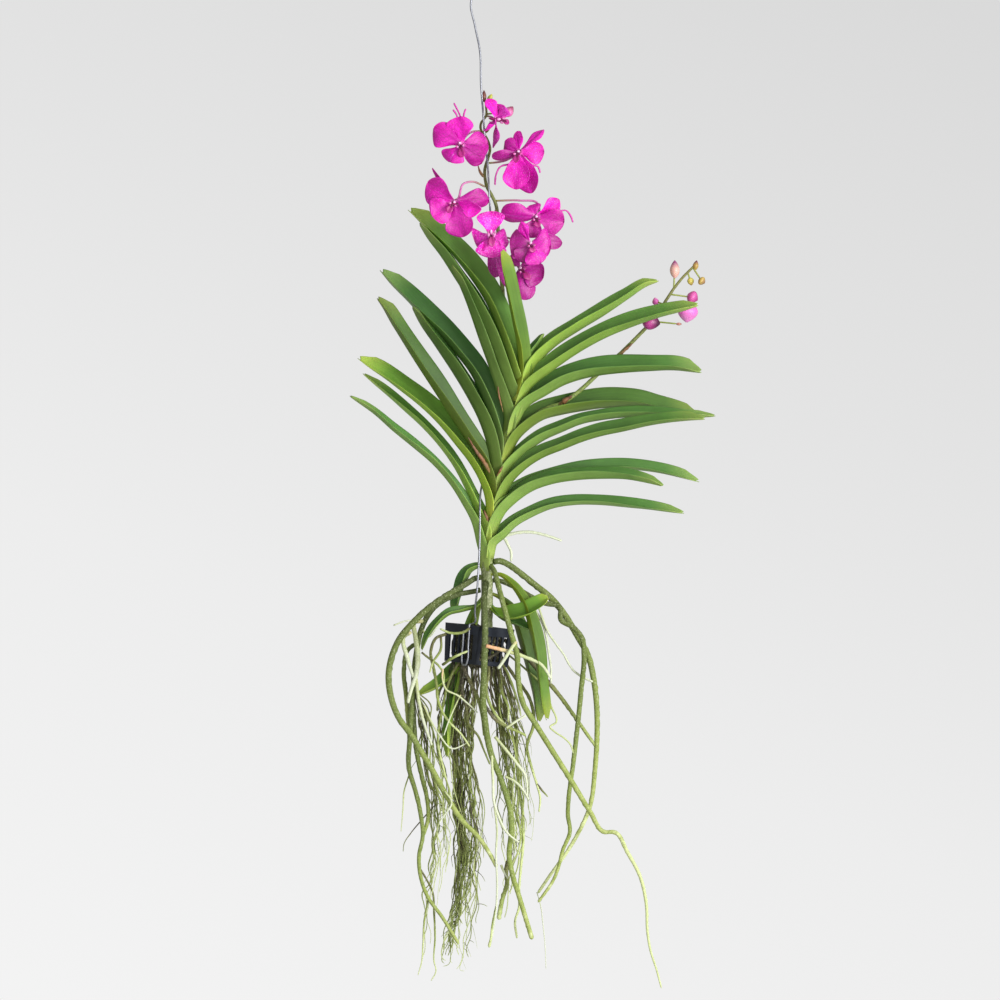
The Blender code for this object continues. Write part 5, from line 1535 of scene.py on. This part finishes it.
    def mat(self, draw: np.random.Generator) -> list[Loft]:
        """Fill the basket with rough dark lumps and curled strands, whose low marks give them the
        darkest colours as painted shade inside the basket.

        Each strand runs through random points of the basket's inside, 46 mm square and
        37 mm high, turned and leaning as the basket is.

        Args:
            draw: the source of every random number.

        Returns:
            The skins.
        """
        basket = Basket.frame()
        turn = np.array(basket.to_3x3())
        spot = np.array(basket.translation)
        lofts = []
        for _ in range(self.LUMPS):
            core = basket @ Vector(draw.uniform((-0.006, -0.006, 0.014), (0.006, 0.006, 0.026)))
            middle = np.array(core)
            tip = middle + draw.normal(0, 1, 3) * (0.012, 0.012, 0.005)
            lump = bead(middle, tip, 0.042, "#000000", "#000000", 0.3, 30, 30)
            rough = 1 + 0.12 * draw.normal(0, 1, lump.rings.shape[:2] + (1,))
            rings = middle + (lump.rings - middle) * rough
            # painted shade: the lump's mark drops by 1.5, to the darkest colour
            lofts.append(Loft(rings, lump.span, lump.tone - (0.0, 0.0, 1.5)))
        for _ in range(self.CURLS):
            inside = draw.uniform((-0.023, -0.023, 0.003), (0.023, 0.023, 0.040),
                                  (self.KNOTS, 3))
            line = Path(inside @ turn.T + spot, metres=True)
            radius = draw.uniform(0.8, 1.9)
            # painted shade: marks from -0.9 to -0.3 keep the strands dark
            lofts.append(tube(line, [radius, radius], 50, 8, 0.12, draw, draw.uniform(-0.9, -0.3)))
        return lofts


@dataclass
class Basket:
    """The square basket: the solid's own walls, with moulded edges."""

    edge: float = 0.0004

    MIDDLE = (478, 645)
    LEAN_DEG, TURN_DEG = 6, 43
    HALF_HEIGHT = 0.023

    @classmethod
    def frame(cls) -> Matrix:
        """Give the basket's own frame: its floor's middle, corner first and leaning."""
        spot = Vector(place([cls.MIDDLE])[0])
        return (Matrix.Translation(spot)
                @ Matrix.Rotation(math.radians(cls.LEAN_DEG), 4, "Y")
                @ Matrix.Rotation(math.radians(cls.TURN_DEG), 4, "Z")
                @ Matrix.Translation((0, 0, -cls.HALF_HEIGHT)))

    def build(self, plastic: bpy.types.Material) -> None:
        """Round the edges of a merged copy of the solid, and put it in its place."""
        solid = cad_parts["slotted_basket"]
        shape = bmesh.new()
        shape.from_mesh(solid.data)
        bmesh.ops.remove_doubles(shape, verts=shape.verts, dist=1e-5)
        bmesh.ops.dissolve_limit(shape, angle_limit=math.radians(1.0), verts=shape.verts,
                                 edges=shape.edges)
        mesh = bpy.data.meshes.new("basket_walls")
        shape.to_mesh(mesh)
        shape.free()
        mesh.materials.append(plastic)
        walls = bpy.data.objects.new("basket_walls", mesh)
        bevel = walls.modifiers.new("moulded_edge", "BEVEL")
        bevel.width = self.edge
        bevel.segments = 2
        bevel.limit_method = "ANGLE"
        bevel.angle_limit = math.radians(40)
        settle(walls, "basket_plastic", "slotted_basket")


@dataclass
class WireHanger:
    """The bent wire: a hook, a long run behind the leaves, and a loop on the basket."""

    radius_mm: float = 1.2
    hook_radius: float = 12.5
    basket_top: float = 0.059
    basket_bottom: float = 0.054
    basket_height: float = 0.046
    run: Points = (
        (475, -10, 0), (471, 2, 0), (475, 26, 0), (480, 52, -2), (481, 85, -3), (483, 112, -3),
        (485, 140, -3), (488, 170, -3), (489, 190, -3), (490, 206, -2), (491, 228, 14),
        (491, 260, 22), (490, 340, 22), (488, 420, 20), (486, 458, 17), (483, 479, 9),
        (480.5, 493, -1), (480, 506, -9), (480, 530, -11), (479, 560, -12), (477, 592, -16),
        (475, 612, -20))

    def leg(self) -> np.ndarray:
        """Give the points of the leg, which loops back up on the basket's wall, in metres."""
        basket = Basket.frame()
        rim = -self.basket_top / 2
        foot = -self.basket_bottom / 2
        clear = self.radius_mm * MM + 0.0003
        high = self.basket_height
        local = [
            (rim + 0.0090, -0.0130, high + 0.0045), (rim + 0.0018, -0.0145, high + 0.0020),
            (rim - 0.0014, -0.0150, high + 0.0014), (rim - 0.0020, -0.0150, high - 0.0018),
            (rim - clear + 0.0002, -0.0150, high - 0.0060),
            ((rim + foot) / 2 - clear, -0.0150, high / 2), (foot - clear, -0.0150, 0.003),
            (foot - clear, -0.0136, -0.0008), (foot - clear, -0.0100, -0.0020),
            (foot - clear, -0.0066, -0.0006), (foot - clear - 0.0002, -0.0054, 0.004),
            ((rim + foot) / 2 - clear, -0.0054, high * 0.52), (rim - clear, -0.0056, high * 0.86)]
        return np.array([tuple(basket @ Vector(point)) for point in local])

    def build(self, zinc: bpy.types.Material) -> None:
        """Make the wire in the place of its node."""
        turn = np.radians(np.arange(210, -31, -12))
        hook = np.column_stack((HOOK_COLUMN + self.hook_radius * np.cos(turn),
                                HOOK_ROW + self.hook_radius * (1 - np.sin(turn)),
                                np.zeros(len(turn))))
        points = np.vstack([place(hook), place(self.run), self.leg()])
        line = Path(points, metres=True)
        skin = tube(line, [self.radius_mm] * 2, 420, 14)
        skin_piece("wire", [skin], zinc, "hanger_wire", "wire_hook", "wire_hanger")


@dataclass
class Studio:
    """A plain pale floor, a pale surround, soft lights and the camera."""

    centre: Spot = (0.036, 0.0, -0.648)
    view: float = 1.2
    distance: float = 8.0
    floor_drop: float = 1.33
    floor_radius: float = 1.0
    room: str = "#B2B2B2"
    ground: str = "#E6E6E6"
    paper: Stops = ((0.0, "#F3F3F3"), (0.35, "#EDEDED"), (0.65, "#E4E4E4"), (1.0, "#DADADA"))
    # name, place, width and power
    lights: tuple[tuple[str, Spot, float, float], ...] = (
        ("key", (2.6, -2.8, -0.3), 1.9, 165.0), ("front", (0.4, -3.2, -1.3), 1.6, 26.0),
        ("top", (1.2, -1.2, 1.8), 1.2, 16.0))
    aim: Spot = (0.0, 0.0, -0.5)

    def build(self) -> None:
        """Set the camera, the lights, the surround and the floor."""
        scene = bpy.context.scene
        data = bpy.data.cameras.new("camera")
        data.sensor_width = 36.0
        data.lens = 36.0 * self.distance / self.view
        data.clip_end = 100.0
        camera = bpy.data.objects.new("camera", data)
        camera.location = (self.centre[0], -self.distance, self.centre[2])
        camera.rotation_euler = (math.pi / 2, 0.0, 0.0)
        scene.collection.objects.link(camera)
        scene.camera = camera
        scene.view_settings.view_transform = "Standard"
        self.surround(scene)
        for light in self.lights:
            self.light(*light)
        self.floor()

    def surround(self, scene: bpy.types.Scene) -> None:
        """Give the world a pale grey, darker to the top right and away from the backdrop."""
        world = bpy.data.worlds.new("pale_surround")
        world.use_nodes = True
        scene.world = world
        tree = world.node_tree
        way = add(tree, "SeparateXYZ", {0: add(tree, "TexCoord").outputs["Generated"]})
        slant = add(tree, "Math", {0: way.outputs[0], 1: 0.4, 2: way.outputs[2]},
                    operation="MULTIPLY_ADD")
        height = add(tree, "MapRange", {0: slant.outputs[0], 1: -0.10, 2: 0.10})
        paper = add(tree, "ValToRGB", {0: height.outputs[0]}, self.paper)
        behind = add(tree, "MapRange", {0: way.outputs[1], 1: 0.90, 2: 0.985})
        grey = add(tree, "Mix", {0: behind.outputs[0], MIX_A: linear(self.room),
                                 MIX_B: paper.outputs[0]}, data_type="RGBA")
        tree.links.new(grey.outputs[MIX_OUT], tree.nodes["Background"].inputs["Color"])

    def light(self, name: str, spot: Spot, size: float, power: float) -> None:
        """Aim a square soft light at the plant's middle."""
        data = bpy.data.lights.new(name, "AREA")
        data.shape = "SQUARE"
        data.size = size
        data.energy = power
        lamp = bpy.data.objects.new(name, data)
        lamp.location = spot
        aim = Vector(self.aim) - Vector(spot)
        lamp.rotation_euler = aim.to_track_quat("-Z", "Y").to_euler()
        bpy.context.scene.collection.objects.link(lamp)

    def floor(self) -> None:
        """Lay a round pale floor under the plant."""
        mesh = bpy.data.meshes.new("floor")
        disc = bmesh.new()
        bmesh.ops.create_circle(disc, cap_ends=True, segments=96, radius=self.floor_radius,
                                matrix=Matrix.Translation((0, 0, -self.floor_drop)))
        disc.to_mesh(mesh)
        disc.free()
        material, tree, skin = start_material("pale_paper")
        feed(tree, skin, {"Base Color": linear(self.ground), "Roughness": 0.9})
        mesh.materials.append(material)
        ground = bpy.data.objects.new("floor", mesh)
        bpy.context.scene.collection.objects.link(ground)


def main() -> None:
    """Build the finishes, the plant, its basket and wire, and the studio."""
    logging.basicConfig(level=logging.INFO, format="%(name)s %(message)s")
    leaf = LeafCuticle().build()
    stem = StemSkin("vanda_stem_skin", (
        (0.0, "#A9BE52"), (0.35, "#9FB352"), (0.62, "#7E8E42"), (0.72, "#68763A"),
        (1.0, "#5C6434")), "#B9C095", grey=0.3).build()
    stalk = StemSkin("orchid_flower_stalk", (
        (0.0, "#86A04A"), (0.5, "#7C8A42"), (0.8, "#6E7038"), (1.0, "#7A7A3C")),
        "#4A4630").build()
    pedicel = StemSkin("orchid_pedicel", (
        (0.0, "#D870B4"), (0.55, "#C97AAE"), (0.85, "#B08C7C"), (1.0, "#9A9A50")),
        "#A84A8A").build()
    petal = PetalTissue().build()
    tissue = TintedTissue().build()
    green = RootVelamen("vanda_root_velamen", (
        (0.0, "#4C572C"), (0.3, "#616F33"), (0.55, "#748340"), (0.78, "#8E9C4E"),
        (0.92, "#A6B068"), (1.0, "#C4CD92")), pore="#B0B590", shadow="#39421F",
        spread=0.34).build()
    white = RootVelamen("bleached_root_velamen", (
        (0.0, "#D09A70"), (0.2, "#D2B88C"), (0.42, "#B4BC84"), (0.8, "#BEC69C"), (1.0, "#CAD0B4")),
        pore="#D2D4BE", shadow="#87845F", spread=0.1).build()
    # the darkest first stop is painted shade, for the mat inside the basket
    brown = RootVelamen("fine_root_velamen", (
        (0.0, "#433E33"), (0.12, "#57503F"), (0.25, "#68663F"), (0.55, "#7A8544"),
        (0.85, "#96A45A"), (1.0, "#C2CC8E")), pore="#A9AE8B", shadow="#3F3E27",
        spread=0.4).build()
    plastic = MouldedPolypropylene().build()
    zinc = GalvanisedWire().build()
    dry = StemSkin("withered_bract_skin", (
        (0.0, "#84763F"), (0.4, "#8C5F3A"), (1.0, "#6B4028")), "#4C3020", grey=0.15).build()

    LeafyShoot().build(leaf, stem, stalk, tissue, dry)
    draw = np.random.default_rng(BLOOM_SEED)
    for bloom in BLOOMS:
        bloom.build(petal, tissue, pedicel, draw)
    AerialRoots().build(green, white)
    FineRoots().build(brown, white)
    Basket().build(plastic)
    WireHanger().build(zinc)
    Studio().build()


if __name__ == "__main__":
    main()
